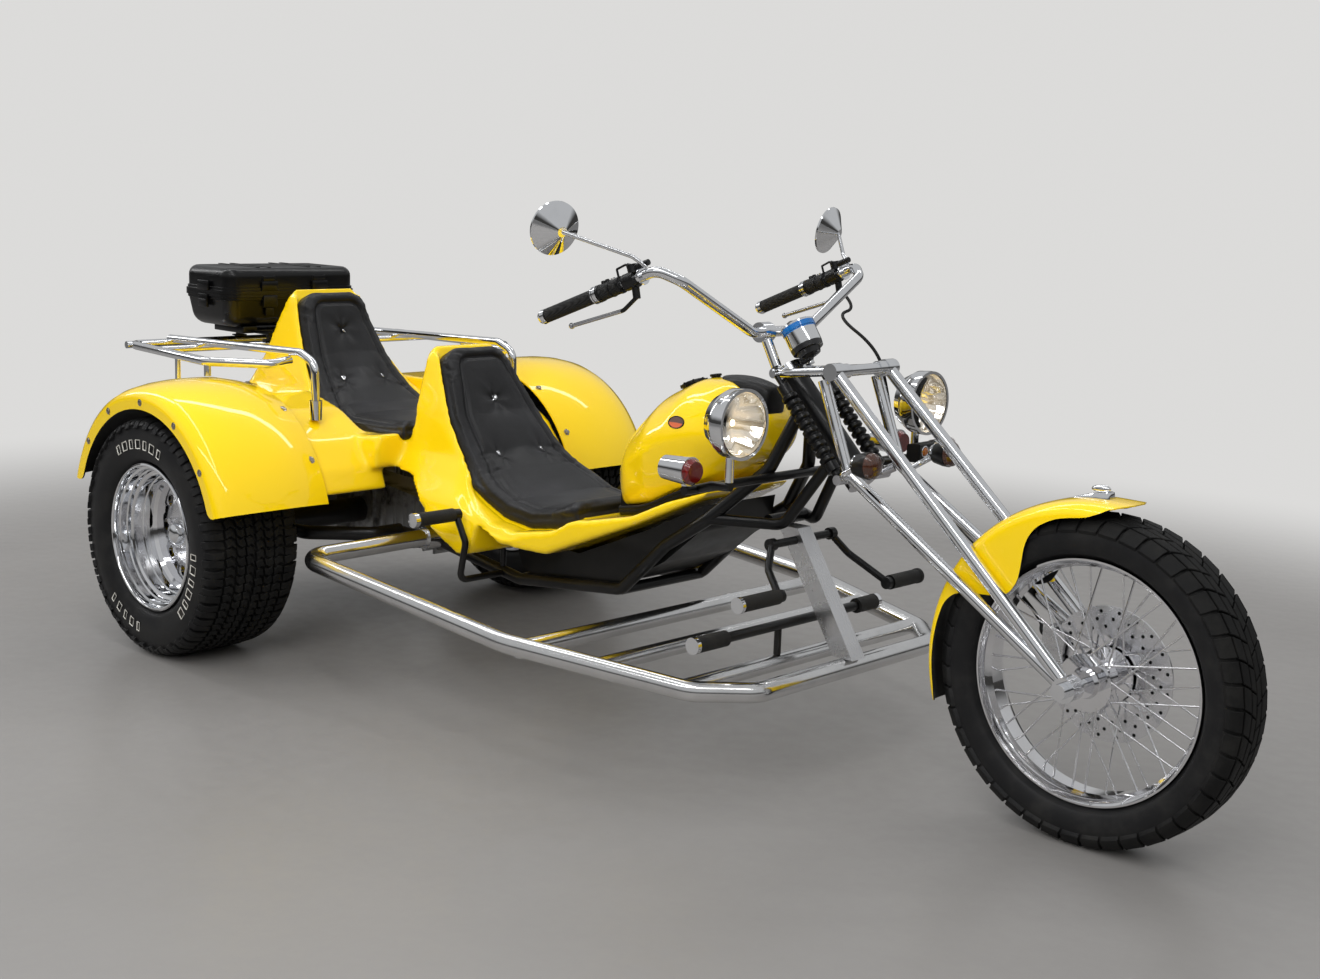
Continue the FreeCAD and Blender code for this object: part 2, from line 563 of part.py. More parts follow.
def grips():
    """Rubber grips and switch housings on the bar ends."""
    out = []
    a, b = V(1528, -368, 1160), V(1200, -398, 1034)
    d = (b - a).normalize()
    rows = ((0.30, 0.50, 19), (0.55, 0.99, 17))
    total = (V(*BAR[5]) - V(*BAR[3])).Length
    for f0, f1, r in rows:
        p, q = a + d * (total * f0), a + d * (total * f1)
        g = rod(tuple(p), tuple(q), r).cut(rod(tuple(a), tuple(b), BAR_R + 0.02))
        out += both(g)
    save(Part.makeCompound(out), "grips")


def mirrors():
    """Round mirrors with deep coned backs on thin stems from the bar clamps."""
    out = []
    stem_foot, head = (1500, -371, 1166), (1330, -500, 1245)
    c = V(*head)
    back = V(0.96, -0.18, -0.22).normalize()
    cone = rod(tuple(c + back * 34), tuple(c), 12, 63)
    rim = rod(tuple(c), tuple(c - back * 5), 63)
    stem = tube([stem_foot, (1470, -388, 1188), tuple(c + back * 30)], 5, 20)
    out = fuse([cone, rim, stem])
    save(Part.makeCompound(both(out)), "mirrors")


def front_fender():
    """Narrow fender on the front wheel, round in section, with a lobe by the fork legs."""
    outer = [(-86, 362), (-82, 376), (-50, 387), (50, 387), (82, 376), (86, 362)]
    inner = [(83, 362), (79, 373), (49, 383), (-49, 383), (-79, 373), (-83, 362)]
    parts = [spin(outer + inner, FRONT_AXLE_X, FRONT_AXLE_Z, 80, 198)]
    lobe = [(2476, 722), (2470, 706), (2376, 674), (2334, 624), (2350, 566), (2326, 518), (2262, 504), (2186, 496),
            (2160, 470), (2146, 470), (2170, 540), (2240, 640), (2340, 704)]
    for side in (-1, 1):
        y0, y1 = sorted((side * 82.4, side * 86))
        parts.append(slab(lobe, y0, y1, [0, 20, 60, 40, 50, 30, 30, 20, 10, 0, 0, 0, 0]))
        parts.append(rod((2225, side * 83, 602), (2225, side * 91.6, 602), 9))
    save(fuse(parts), "front_fender")


# ---- controls and fork fittings ----
def turned(a, b, rows):
    """Round piece from a towards b; rows of (distance along, radius)."""
    a, b = laid(a), laid(b)
    d = (b - a).normalize()
    side = d.cross(V(0, 1, 0))
    if side.Length < 0.1:
        side = d.cross(V(1, 0, 0))
    side = side.normalize()
    pts = [a + d * rows[0][0]] + [a + d * h + side * r for h, r in rows] + [a + d * rows[-1][0]]
    face = Part.Face(Part.makePolygon(pts + [pts[0]]))
    return face.revolve(a, d, 360)


STRUT_Y = 84.0
STRUT_TOP = (147.0, 18.0)
STRUT_LOW = (-157.5, 6.0)


def struts():
    """Coil-over strut on each side of the head tube, between the lower yoke and the upper link."""
    out = []
    for side in (-1, 1):
        low = on_axis(STRUT_LOW[0] + 12 + SEAT_GAP, STRUT_LOW[1], side * STRUT_Y)
        top = on_axis(STRUT_TOP[0] - 9 - SEAT_GAP, STRUT_TOP[1], side * STRUT_Y)
        total = (V(*top) - V(*low)).Length
        rows = [(0, 9), (10, 9), (12, 17), (34, 17)]
        coils = 9
        pitch = (total - 104) / coils
        for i in range(coils):
            h = 36 + i * pitch
            rows += [(h, 13), (h + pitch * 0.25, 19), (h + pitch * 0.65, 19), (h + pitch * 0.9, 13)]
        rows += [(total - 66, 20), (total - 58, 20), (total - 54, 15), (total - 26, 15), (total - 24, 6), (total, 6)]
        out.append(turned(low, top, rows))
    save(Part.makeCompound(out), "struts")


GAUGE_FOOT, GAUGE_TOP = (1692.0, 0.0, 962.0), (1640.0, 0.0, 1037.0)


def gauge():
    """Bullet-shaped instrument with a bezel on a short stalk from the upper yoke."""
    cup = turned(GAUGE_FOOT, GAUGE_TOP, [(0, 16), (4, 26), (16, 30), (17, 38), (30, 40), (68, 40), (70, 42),
                                         (86, 42), (88, 38)])
    stalk = rod(on_axis(HEAD_HALF + 17, 42), GAUGE_FOOT, 8)
    stalk = stalk.cut(rod(on_axis(HEAD_HALF, 0), on_axis(HEAD_HALF + 40, 0), 40 + SEAT_GAP))
    save(fuse([cup, stalk]), "gauge")


def lever_side(side):
    """Perch clamped on the bar, reservoir or cable barrel, and a long lever before the grip."""
    a, b = V(BAR[3][0], side * -BAR[3][1], BAR[3][2]), V(BAR[5][0], side * -BAR[5][1], BAR[5][2])
    d = (b - a).normalize()
    e = V(0.36, 0, -0.93).normalize()
    p = a + d * ((b - a).Length * 0.17)
    q = p + d * 34
    perch = [rod(tuple(p), tuple(q), 20)]
    perch.append(rod(tuple(p + d * 8), tuple(p + d * 14 + e * 44), 9))
    perch.append(tube([tuple(p + d * 12 + e * 40), tuple(p + d * 60 + e * 58), tuple(p + d * 225 + e * 46)], 5, 30))
    perch.append(ball(tuple(p + d * 225 + e * 46), 7.5))
    perch.append(rod(tuple(p + d * 6 - e * 14), tuple(p + d * 6 - e * 34), 13))
    perch = fuse(perch)
    return perch.cut(rod(tuple(a - d * 5), tuple(b), BAR_R + 0.02))


def bar_controls():
    """Both lever sets, and the polished caps that close the grips."""
    a, b = V(*BAR[3]), V(*BAR[5])
    d = (b - a).normalize()
    cap = turned(tuple(b + d * SEAT_GAP), tuple(b + d * 30), [(0, 17), (12, 18), (20, 14), (23, 8)])
    save(Part.makeCompound([lever_side(-1), lever_side(1)] + both(cap)), "bar_controls")


CALIPER = (2366.0, 392.0)


def front_brake():
    """Caliper straddling the disc on a plate carried by the axle and tied to the left leg."""
    plate = slab([(2500, 381), (2524, 355), (2500, 329), (2385, 352), (2345, 372), (2345, 410), (2385, 430)], 66, 74, 8)
    plate = plate.cut(rod((FRONT_AXLE_X, 50, FRONT_AXLE_Z), (FRONT_AXLE_X, 90, FRONT_AXLE_Z), FRONT_AXLE_R + SEAT_GAP))
    body = slab([(2338, 360), (2392, 352), (2398, 420), (2344, 436)], 39, 92, 8)
    slot = spin([(47.6, 80), (64.4, 80), (64.4, DISC_R + 7), (47.6, DISC_R + 7)], FRONT_AXLE_X, FRONT_AXLE_Z)
    tie = rod((2366, 92, 415), (2366, 92, 415.1), 4)
    save(fuse([plate.cut(slot), body.cut(slot)]), "front_brake")


HOSE = [(2340.7, 80, 398), (2310, 80, 398), (2284, 138, 424), (1925, 136, 676), (1850, 134, 760), (1822, 128, 900),
        (1790, 126, 985), (1640, 150, 1052), (1600, 290, 1062), (1484.5, 374, 1092)]


def brake_hose():
    """Hydraulic hose from the caliper up the left leg to the bar, held by clips."""
    hose = tube(HOSE, 4, [0, 16, 24, 60, 60, 60, 50, 60, 40, 0])
    save(hose, "brake_hose")


def fork_lamps():
    """Smoked side lamps on clamps at the fork's kinks."""
    lamps_, lens = [], []
    for side in (-1, 1):
        c = (1948, side * 152, 752)
        cup = turned(c, (c[0] + 100, c[1], c[2] + 6), [(0, 14), (10, 24), (34, 30), (48, 31)])
        arm = tube([(1912, side * (FORK_HALF + LEG_R + SEAT_GAP + 0.6), 712), (1912, side * 152, 720),
                    (1958, side * 152, 748)], 7, 18)
        lamps_.append(fuse([cup, arm]))
        lens.append(turned((c[0] + 48 + SEAT_GAP, c[1], c[2] + 2.9), (c[0] + 100, c[1], c[2] + 6),
                           [(0, 30), (10, 28), (18, 20), (22, 8)]))
    save(Part.makeCompound(lamps_), "fork_lamps")
    save(Part.makeCompound(lens), "fork_lamp_lenses")


def pegs():
    """Rider's peg shaft above the rear cross tube, pedals on cranked arms, passenger pegs."""
    shaft = [rod((1720, -300, 330), (1720, 190, 330), 12)]
    for y in (-110, 110):
        shaft.append(rod((1720, y, 238 + 20 + SEAT_GAP), (1720, y, 330), 9))
    rubber = [rod((1720, -400, 330), (1720, -300, 330), 19), rod((1720, -412, 330), (1720, -400, 330), 20),
              rod((1720, 190, 330), (1720, 262, 330), 19), rod((1720, 262, 330), (1720, 274, 330), 20)]
    save(fuse(shaft + rubber), "rider_pegs")
    arms = (("brake_pedal", -1, 1785, 425, 198, 338, (1690, 112, 520)),
            ("clutch_pedal", 1, 1822, 410, 186, 306, (1690, 112, 520)))
    out = []
    for name, side, px, pz, y0, y1, foot in arms:
        arm = [tube([(foot[0], side * foot[1], foot[2]), (foot[0] + 26, side * (foot[1] + 40), foot[2] - 50),
                     (px, side * (y0 - 6), pz)], 9, 30)]
        arm.append(rod((px, side * (y0 - 16), pz), (px, side * y0, pz), 15))
        arm.append(rod((px, side * y0, pz), (px, side * (y1 - 10), pz), 18))
        arm.append(rod((px, side * (y1 - 10), pz), (px, side * y1, pz), 19))
        arm.append(rod((foot[0], side * 104, foot[2]), (foot[0], side * 122, foot[2]), 15))
        arm.append(rod((foot[0], side * (25 + SEAT_GAP), foot[2]), (foot[0], side * 104, foot[2]), 10))
        out.append(fuse(arm))
    save(Part.makeCompound(out), "pedals")
    out = []
    for side in (-1, 1):
        peg = [rod((765, side * 304, 470), (765, side * 326, 470), 15),
               rod((765, side * 326, 470), (765, side * 446, 470), 18),
               rod((765, side * 446, 470), (765, side * 460, 470), 19),
               tube([(765, side * 314, 470), (806, side * 314, 400), (782, side * 314, 293),
                     (782, side * (RAIL_Y + 16 + SEAT_GAP), 293)], 9, 26)]
        out.append(fuse(peg))
    save(Part.makeCompound(out), "passenger_pegs")


def rear_struts():
    """Coil-over units between the axle arms and the side pods."""
    out = []
    for side in (-1, 1):
        low, top = (70, side * 412, 358.6 + SEAT_GAP), (60, side * 400, 524 - SEAT_GAP)
        total = (V(*top) - V(*low)).Length
        rows = [(0, 10), (8, 10), (10, 18), (30, 18)]
        coils, pitch = 6, (total - 62) / 6
        for i in range(coils):
            h = 32 + i * pitch
            rows += [(h, 14), (h + pitch * 0.25, 23), (h + pitch * 0.65, 23), (h + pitch * 0.9, 14)]
        rows += [(total - 26, 22), (total - 20, 22), (total - 18, 12), (total, 12)]
        out.append(turned(low, top, rows))
    save(Part.makeCompound(out), "rear_struts")


def exhaust():
    """Headers from both banks into a cross silencer with two tail pipes."""
    parts = [rod((-500, -230, 262), (-500, 230, 262), 52)]
    for side in (-1, 1):
        parts.append(tube([(-330, side * (290 + SEAT_GAP), 385), (-330, side * 340, 385), (-330, side * 340, 262),
                           (-500, side * 330, 262), (-500, side * 220, 262)], 20, 36))
        parts.append(tube([(-520, side * 150, 280), (-580, side * 160, 262), (-660, side * 165, 262)], 17, 30))
    save(fuse(parts), "exhaust")


def tail_lamps():
    """Round lamp on the back of each rear fender."""
    arch = rod((0, -900, 345), (0, 900, 345), 428 + SEAT_GAP)
    out = []
    for side in (-1, 1):
        cup = rod((-300, side * 615, 560), (-418, side * 615, 560), 34, 40)
        cup = fuse([cup, rod((-418, side * 615, 560), (-430, side * 615, 560), 40)])
        out.append(cup.cut(arch))
    save(Part.makeCompound(out), "tail_lamps")


def lamp_box():
    """Dark lamp block with two amber lamps, on the left end of the lamp bar."""
    block = slab([(1796, 700), (1796, 744), (1836, 748), (1836, 704)], 262, 330, 6)
    arm = tube([(LAMP_BAR_X + 11 + SEAT_GAP, 300, 676), (1740, 300, 690), (1800, 300, 716)], 9, 30)
    side = slab([(1788, 696), (1788, 742), (1826, 748), (1842, 724), (1830, 700)], 330 + SEAT_GAP, 420, 8)
    save(Part.makeCompound([fuse([block, arm]), side]), "lamp_box")
    amber = [turned((1836 + SEAT_GAP, y, 728), (1860, y, 728), [(0, 10), (3, 10), (6, 6)]) for y in (280, 312)]
    save(Part.makeCompound(amber), "lamp_box_lenses")


# ---- lamps, rack and case --------------------------------------------------------------
LAMP_BAR_X = 1662.0


def lamps():
    """Lamp bar across the frame, two chrome headlights and the bar-end indicators."""
    bar = rod((LAMP_BAR_X, -395, 676), (LAMP_BAR_X, 395, 676), 11)
    heads, glass, ends, red = [], [], [], []
    for side in (-1, 1):
        cx, cy, cz = 1790, side * 350, 838
        bowl = [(0, 0), (0, 30), (18, 62), (48, 78), (72, 80), (84, 80), (84, 73), (76, 73), (56, 66), (36, 50),
                (22, 28), (18, 12), (34, 12), (38, 9), (38, 0)]
        pts = [laid((cx - 78 + x, cy, cz + r)) for x, r in bowl]
        face = Part.Face(Part.makePolygon(pts + [pts[0]]))
        heads.append(face.revolve(laid((cx, cy, cz)), V(1, 0, 0), 360))
        heads.append(rod((1756, cy, 764), (1756, cy, 704 + SEAT_GAP), 10))
        dome = [(76 + SEAT_GAP, 0), (76 + SEAT_GAP, 73 - SEAT_GAP), (82, 73 - SEAT_GAP), (90, 60), (95, 36), (97, 0)]
        pts = [laid((cx - 78 + x, cy, cz + r)) for x, r in dome]
        face = Part.Face(Part.makePolygon(pts + [pts[0]]))
        glass.append(face.revolve(laid((cx, cy, cz)), V(1, 0, 0), 360))
        ends.append(fuse([rod((LAMP_BAR_X - 60, side * 392, 722), (LAMP_BAR_X + 18, side * 392, 722), 28, 33),
                          rod((LAMP_BAR_X, side * 392, 700), (LAMP_BAR_X, side * 392, 687 + SEAT_GAP), 9)]))
        red.append(rod((LAMP_BAR_X + 18 + SEAT_GAP, side * 392, 722), (LAMP_BAR_X + 32, side * 392, 722), 30, 24))
    arms = []
    for side in (-1, 1):
        arms.append(tube([(LAMP_BAR_X, side * 350, 676), (1706, side * 350, 690), (1762, side * 350, 694)], 10, 20))
    save(fuse([bar] + arms), "lamp_bar")
    save(Part.makeCompound([fuse(heads[0:2]), fuse(heads[2:4])]), "headlights")
    save(Part.makeCompound(glass), "headlight_lenses")
    save(Part.makeCompound(ends), "bar_indicators")
    red += [rod((-430 - SEAT_GAP, s * 615, 560), (-440, s * 615, 560), 36, 28) for s in (-1, 1)]
    save(Part.makeCompound(red), "indicator_lenses")


RACK_FRONT_X = -404.0


def luggage_rack():
    """Chrome tube rack behind the rear seat: outer loops over the fenders and two grab rails."""
    parts = []
    for side in (-1, 1):
        parts.append(tube([(-580, side * 20, 812), (-585, side * 500, 812), (-60, side * 560, 812),
                           (90, side * 440, 812), (80, side * 372, 820)], 13, 45))
        parts.append(tube([(-580, side * 370, 826), (130, side * 370, 846), (200, side * 370, 820),
                           (205, side * 370, 717)], 12, 40))
        parts.append(rod((-60, side * 555, 770.1 + SEAT_GAP), (-60, side * 555, 812), 10))
        parts.append(rod((-250, side * 538, 694.2 + SEAT_GAP), (-250, side * 538, 812), 8))
        parts.append(rod((205, side * 370, 661.7 + SEAT_GAP), (205, side * 370, 717), 18))
    for x in (-580, RACK_FRONT_X):
        parts.append(rod((x, -520, 812), (x, 520, 812), 11))
    save(fuse(parts), "luggage_rack")


CASE = (-720.0, -440.0, -250.0, 250.0)
CASE_FLOOR, CASE_BASE_H, CASE_LID_H, WALL = 862.0, 106.0, 82.0, 5.0
CASE_SPLIT = CASE_FLOOR + CASE_BASE_H
CASE_TOP = CASE_SPLIT + CASE_LID_H
KNUCKLE_R, PIN_R = 7.0, 3.0
CASE_HINGE_X = TAIL - KNUCKLE_R


def case_half(z0, z1, open_up):
    x0, x1, y0, y1 = CASE
    shell = box(x0, x1, y0, y1, z0, z1)
    shell = shell.makeFillet(28, [e for e in shell.Edges if abs(e.Vertexes[0].Z - e.Vertexes[-1].Z) > 10])
    hollow = box(x0 + WALL, x1 - WALL, y0 + WALL, y1 - WALL, z0 + (WALL if open_up else -1),
                 z1 + (1 if open_up else -WALL))
    hollow = hollow.makeFillet(23, [e for e in hollow.Edges if abs(e.Vertexes[0].Z - e.Vertexes[-1].Z) > 10])
    return shell.cut(hollow)


def luggage_case():
    """Hollow case on a plate above the rack; the lid hinges at its front edge."""
    base = case_half(CASE_FLOOR, CASE_SPLIT - SEAT_GAP / 2, True)
    plate = box(-640, -470, -150, 150, 842, CASE_FLOOR)
    legs = [rod((-580, y, 842), (-580, y, 825 + SEAT_GAP), 14) for y in (-120, 120)]
    legs += [box(-480, RACK_FRONT_X + 12, y - 14, y + 14, 842, 850) for y in (-120, 120)]
    legs += [rod((RACK_FRONT_X, y, 842), (RACK_FRONT_X, y, 823 + SEAT_GAP), 10) for y in (-120, 120)]
    lid = [case_half(CASE_SPLIT + SEAT_GAP / 2, CASE_TOP, False)]
    bottom = [base, plate] + legs
    hx = -CASE_HINGE_X
    for side in (-1, 1):
        bottom.append(rod((hx, side * 150, CASE_SPLIT), (hx, side * 170, CASE_SPLIT), KNUCKLE_R))
        bottom.append(rod((hx, side * 150, CASE_SPLIT), (hx, side * 200, CASE_SPLIT), PIN_R))
        y0, y1 = sorted((side * 150, side * 170))
        bottom.append(box(hx, CASE[0] + 2, y0, y1, CASE_SPLIT - 18, CASE_SPLIT - 2))
        y0, y1 = sorted((side * (170 + SEAT_GAP), side * 195))
        leaf = fuse([rod((hx, y0, CASE_SPLIT), (hx, y1, CASE_SPLIT), KNUCKLE_R),
                     box(hx, CASE[0] + 2, y0, y1, CASE_SPLIT + 2, CASE_SPLIT + 18)])
        lid.append(leaf.cut(rod((hx, y0 - 1, CASE_SPLIT), (hx, y1 + 1, CASE_SPLIT), PIN_R + RUN_FIT)))
    save(fuse(bottom), "case_base")
    save(fuse(lid), "case_lid")


ring_tyre(FRONT_AXLE_X, 0, FRONT_AXLE_Z, FRONT_TYRE_R, FRONT_TYRE_W, FRONT_RIM_R, FRONT_RIM_W / 2, 58, "front_tyre")
for side, word in ((-1, "right"), (1, "left")):
    ring_tyre(0, side * REAR_TRACK_HALF, REAR_AXLE_Z, REAR_TYRE_R, REAR_TYRE_W, REAR_RIM_R, REAR_RIM_W / 2,
              132, "rear_tyre_" + word)
    rear_wheel(side, "rear_wheel_" + word)
    rear_fender(side, "rear_fender_" + word)
front_wheel()
seats()
body_shell()
save(fuel_tank(), "fuel_tank")
tank_trim()
belly_pan()
frame_main()
front_post()
foot_frame()
rear_axle()
engine()
gearbox()
girder_fork()
steering_stem()
front_axle()
handlebar()
grips()
mirrors()
front_fender()
lamps()
luggage_rack()
luggage_case()
for piece in (struts, gauge, bar_controls, front_brake, brake_hose, fork_lamps, pegs, rear_struts, exhaust,
              tail_lamps, lamp_box):
    piece()
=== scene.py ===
import json
import math

import bmesh
import bpy
from mathutils import Matrix, Vector


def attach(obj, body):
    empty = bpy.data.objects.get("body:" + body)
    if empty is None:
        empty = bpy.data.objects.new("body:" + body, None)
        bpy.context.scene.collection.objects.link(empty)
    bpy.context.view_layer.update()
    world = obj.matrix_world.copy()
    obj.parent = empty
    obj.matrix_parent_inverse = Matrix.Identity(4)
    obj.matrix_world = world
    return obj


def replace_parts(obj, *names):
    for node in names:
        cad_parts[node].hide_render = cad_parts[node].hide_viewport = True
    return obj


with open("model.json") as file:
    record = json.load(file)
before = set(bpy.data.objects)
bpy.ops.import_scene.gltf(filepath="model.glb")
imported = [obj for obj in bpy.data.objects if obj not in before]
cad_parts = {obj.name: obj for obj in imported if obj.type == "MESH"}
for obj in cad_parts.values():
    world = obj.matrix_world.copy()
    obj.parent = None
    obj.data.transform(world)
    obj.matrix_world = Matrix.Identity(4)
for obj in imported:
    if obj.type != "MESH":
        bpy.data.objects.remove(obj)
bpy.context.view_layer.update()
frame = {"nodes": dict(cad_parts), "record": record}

bl_info = {
    "name": "Motorized trike finish",
    "version": (1, 0, 0),
    "blender": (4, 5, 0),
    "location": "3D View > Sidebar > Trike",
    "description": "Paint, chrome, tyres, seats and trim for a three-wheeled motor trike",
    "category": "Object",
}

NODES = frame["nodes"]
MIDDLE_X = 1060.0                # middle of the trike's length, millimetres ahead of the rear axle
FRONT = (2500.0, 0.0, 355.0)     # front wheel centre, millimetres from the rear axle
REAR_Y = 655.0                   # rear wheel centres, left and right of the middle
REAR_Z = 338.0
AHEAD, LEFT = (1, 0, 0), (0, 1, 0)
BACKDROP = (0.715, 0.71, 0.70, 1)


# ---- measuring -------------------------------------------------------------------------
def at(x, y, z):
    """Place in metres of a point given in millimetres ahead of the rear axle, left and up."""
    return Vector(((x - MIDDLE_X) / 1000, y / 1000, z / 1000))


def mm(place):
    """Millimetres ahead of the rear axle, left and up of a place in metres."""
    return place.x * 1000 + MIDDLE_X, place.y * 1000, place.z * 1000


def spoke(degrees):
    """Direction square to the axles, at an angle up from dead ahead."""
    turn = math.radians(degrees)
    return Vector((math.cos(turn), 0, math.sin(turn)))


def round_axle(centre, turn, radius, across):
    """Place at an angle and radius about an axle; radius and across in millimetres."""
    return centre + Vector((radius * math.cos(turn), across, radius * math.sin(turn))) / 1000


def srgb(r, g, b, alpha=1.0):
    """Linear colour from the 0 to 255 values that a paint chart gives."""
    def line(v):
        v = v / 255
        return v / 12.92 if v <= 0.04045 else ((v + 0.055) / 1.055) ** 2.4
    return (line(r), line(g), line(b), alpha)


def darker(colour, share):
    return tuple(share * c for c in colour[:3]) + (1,)


# ---- finishes --------------------------------------------------------------------------
class Wire:
    """A shader socket that adds, multiplies and compares in plain expressions."""

    def __init__(self, nodes, socket):
        self.nodes, self.socket = nodes, socket

    def _math(self, operation, *values):
        return self.nodes.node("Math", {"operation": operation}, dict(enumerate(values)))

    def __add__(self, other):
        return self._math("ADD", self, other)

    __radd__ = __add__

    def __sub__(self, other):
        return self._math("SUBTRACT", self, other)

    def __rsub__(self, other):
        return self._math("SUBTRACT", other, self)

    def __mul__(self, other):
        return self._math("MULTIPLY", self, other)

    __rmul__ = __mul__

    def __truediv__(self, other):
        return self._math("DIVIDE", self, other)

    def root(self):
        return self._math("SQRT", self)

    def size(self):
        return self._math("ABSOLUTE", self)

    def wave(self):
        return self._math("SINE", self)

    def fraction(self):
        return self._math("FRACT", self)

    def angle(self, other):
        return self._math("ARCTAN2", self, other)

    def ramp(self, low, high, to_low=0.0, to_high=1.0):
        """Runs smoothly from to_low to to_high while the value goes from low to high."""
        return self.nodes.node("MapRange", {"interpolation_type": "SMOOTHSTEP", "clamp": True},
                                {"Value": self, "From Min": low, "From Max": high,
                                 "To Min": to_low, "To Max": to_high})


class Nodes:
    """A node tree whose nodes are each made, set and fed in one call."""

    def __init__(self, tree):
        self.tree = tree

    def node(self, kind, settings=None, values=None, out=0):
        made = self.tree.nodes.new("ShaderNode" + kind)
        for key, value in (settings or {}).items():
            if key == "stops":
                for spot, (place, colour) in zip(made.color_ramp.elements, value):
                    spot.position, spot.color = place, colour
            else:
                setattr(made, key, value)
        for key, value in (values or {}).items():
            self.feed(made.inputs[key], value)
        return Wire(self, made.outputs[out]) if made.outputs else made

    def feed(self, socket, value):
        if isinstance(value, Wire):
            self.tree.links.new(value.socket, socket)
        else:
            socket.default_value = value

    def split(self, vector):
        made = self.tree.nodes.new("ShaderNodeSeparateXYZ")
        self.feed(made.inputs[0], vector)
        return [Wire(self, socket) for socket in made.outputs]


class Finish(Nodes):
    """One procedural surface finish, built on a Principled shader."""

    def __init__(self, name, **fixed):
        self.material = bpy.data.materials.new(name)
        self.material.use_nodes = True
        super().__init__(self.material.node_tree)
        self.shader = self.tree.nodes["Principled BSDF"]
        for key, value in fixed.items():
            self.shader.inputs[key.replace("_", " ").title().replace("Ior", "IOR")].default_value = value

    def set(self, **values):
        for key, value in values.items():
            self.feed(self.shader.inputs[key.replace("_", " ").title()], value)
        return self

    def where(self, shift=(0, 0, 0), scale=(1, 1, 1), turn=(0, 0, 0)):
        """Place on the piece, with shift subtracted first, in metres."""
        place = self.node("TexCoord", out="Object")
        moved = self.node("VectorMath", {"operation": "SUBTRACT"}, {0: place, 1: tuple(shift)})
        return self.node("Mapping", {}, {"Vector": moved, "Scale": scale, "Rotation": turn})

    def noise(self, scale, detail=3.0, place=None, rough=0.5, warp=0.0):
        return self.node("TexNoise", {}, {"Vector": place or self.where(), "Scale": scale, "Detail": detail,
                                          "Roughness": rough, "Distortion": warp})

    def cells(self, scale):
        """Distance from the edges between irregular cells."""
        return self.node("TexVoronoi", {"feature": "DISTANCE_TO_EDGE"}, {"Vector": self.where(), "Scale": scale})

    def mix(self, factor, first, second):
        made = self.tree.nodes.new("ShaderNodeMix")
        made.data_type = "RGBA"
        for socket, value in zip([made.inputs[0], made.inputs[6], made.inputs[7]], (factor, first, second)):
            self.feed(socket, value)
        return Wire(self, made.outputs[2])

    def bump(self, height, depth=0.001, strength=1.0):
        """Relief from a height of 0 to 1 that stands for depth in metres."""
        normal = self.node("Bump", {}, {"Strength": strength, "Distance": depth, "Height": height})
        self.feed(self.shader.inputs["Normal"], normal)
        return self

    def blend_shader(self, other, factor):
        """Mixes another shader over the finish."""
        mix = self.node("MixShader", {}, {0: factor, 1: Wire(self, self.shader.outputs[0]), 2: other})
        self.feed(self.tree.nodes["Material Output"].inputs["Surface"], mix)

    def dust(self, colour, base, amount=0.5, top=0.45):
        """Road dust that thins out with height, over a base colour."""
        height = self.split(self.where())[2]
        mask = height.ramp(0.0, top, 1.0, 0.0) * self.noise(9, 6, rough=0.65).ramp(0.35, 0.7) * amount
        return self.mix(mask, base, colour), mask


DUST = srgb(118, 112, 104)


def gloss_paint(name, colour, rough=0.24):
    f = Finish(name, Coat_Weight=1.0, Coat_Roughness=0.02, Specular_IOR_Level=0.1)
    tone = f.noise(2.2, 2).ramp(0.3, 0.7)
    body = f.mix(tone, darker(colour, 0.95), colour)
    shade, mask = f.dust(DUST, body, 0.15, 0.4)
    f.set(Base_Color=shade, Roughness=mask * 0.5 + rough + f.noise(60, 4) * 0.05)
    return f.bump(f.noise(420, 2), 0.00004, 0.35)


def mirror_chrome(name, colour=(0.86, 0.87, 0.89, 1), rough=0.04):
    f = Finish(name, Metallic=1.0)
    haze = f.noise(14, 5, rough=0.6).ramp(0.45, 0.8)
    shade, mask = f.dust(srgb(96, 86, 72), f.mix(haze, colour, darker(colour, 0.9)), 0.35, 0.4)
    f.set(Base_Color=shade, Roughness=haze * 0.07 + mask * 0.45 + rough)
    return f.bump(f.noise(60, 3), 0.00004, 0.06)


def brushed_alloy(name, colour=(0.72, 0.72, 0.73, 1), rough=0.2, grain=(1, 30, 1)):
    f = Finish(name, Metallic=1.0)
    lines = f.noise(60, 4, f.where(scale=grain))
    blotch = f.noise(7, 5, rough=0.6).ramp(0.35, 0.75)
    shade, mask = f.dust(srgb(88, 80, 68), f.mix(blotch, colour, darker(colour, 0.9)), 0.25, 0.4)
    f.set(Base_Color=shade, Roughness=lines * 0.1 + blotch * 0.06 + mask * 0.25 + rough)
    return f.bump(lines, 0.00006, 0.1)


def black_enamel(name, colour=srgb(7, 7, 8), rough=0.27, wear=0.25):
    f = Finish(name, Coat_Weight=0.25, Coat_Roughness=0.15, Specular_IOR_Level=0.3)
    chips = f.noise(38, 6, rough=0.7).ramp(0.66, 0.74)
    shade, mask = f.dust(DUST, f.mix(chips * wear, colour, srgb(64, 62, 60)), 0.25, 0.45)
    f.set(Base_Color=shade, Roughness=f.noise(25, 4) * 0.18 + mask * 0.4 + rough)
    return f.bump(f.noise(160, 4), 0.00012, 0.35)


def moulded_rubber(name, colour=srgb(10, 10, 10), rough=0.55, dust=0.3, top=0.5):
    f = Finish(name, Specular_IOR_Level=0.25)
    shade, mask = f.dust(DUST, f.mix(f.noise(12, 5).ramp(0.3, 0.8), colour, srgb(20, 20, 20)), dust, top)
    f.set(Base_Color=shade, Roughness=f.noise(50, 3) * 0.15 + mask * 0.2 + rough)
    return f.bump(f.noise(260, 4), 0.00025, 0.5)


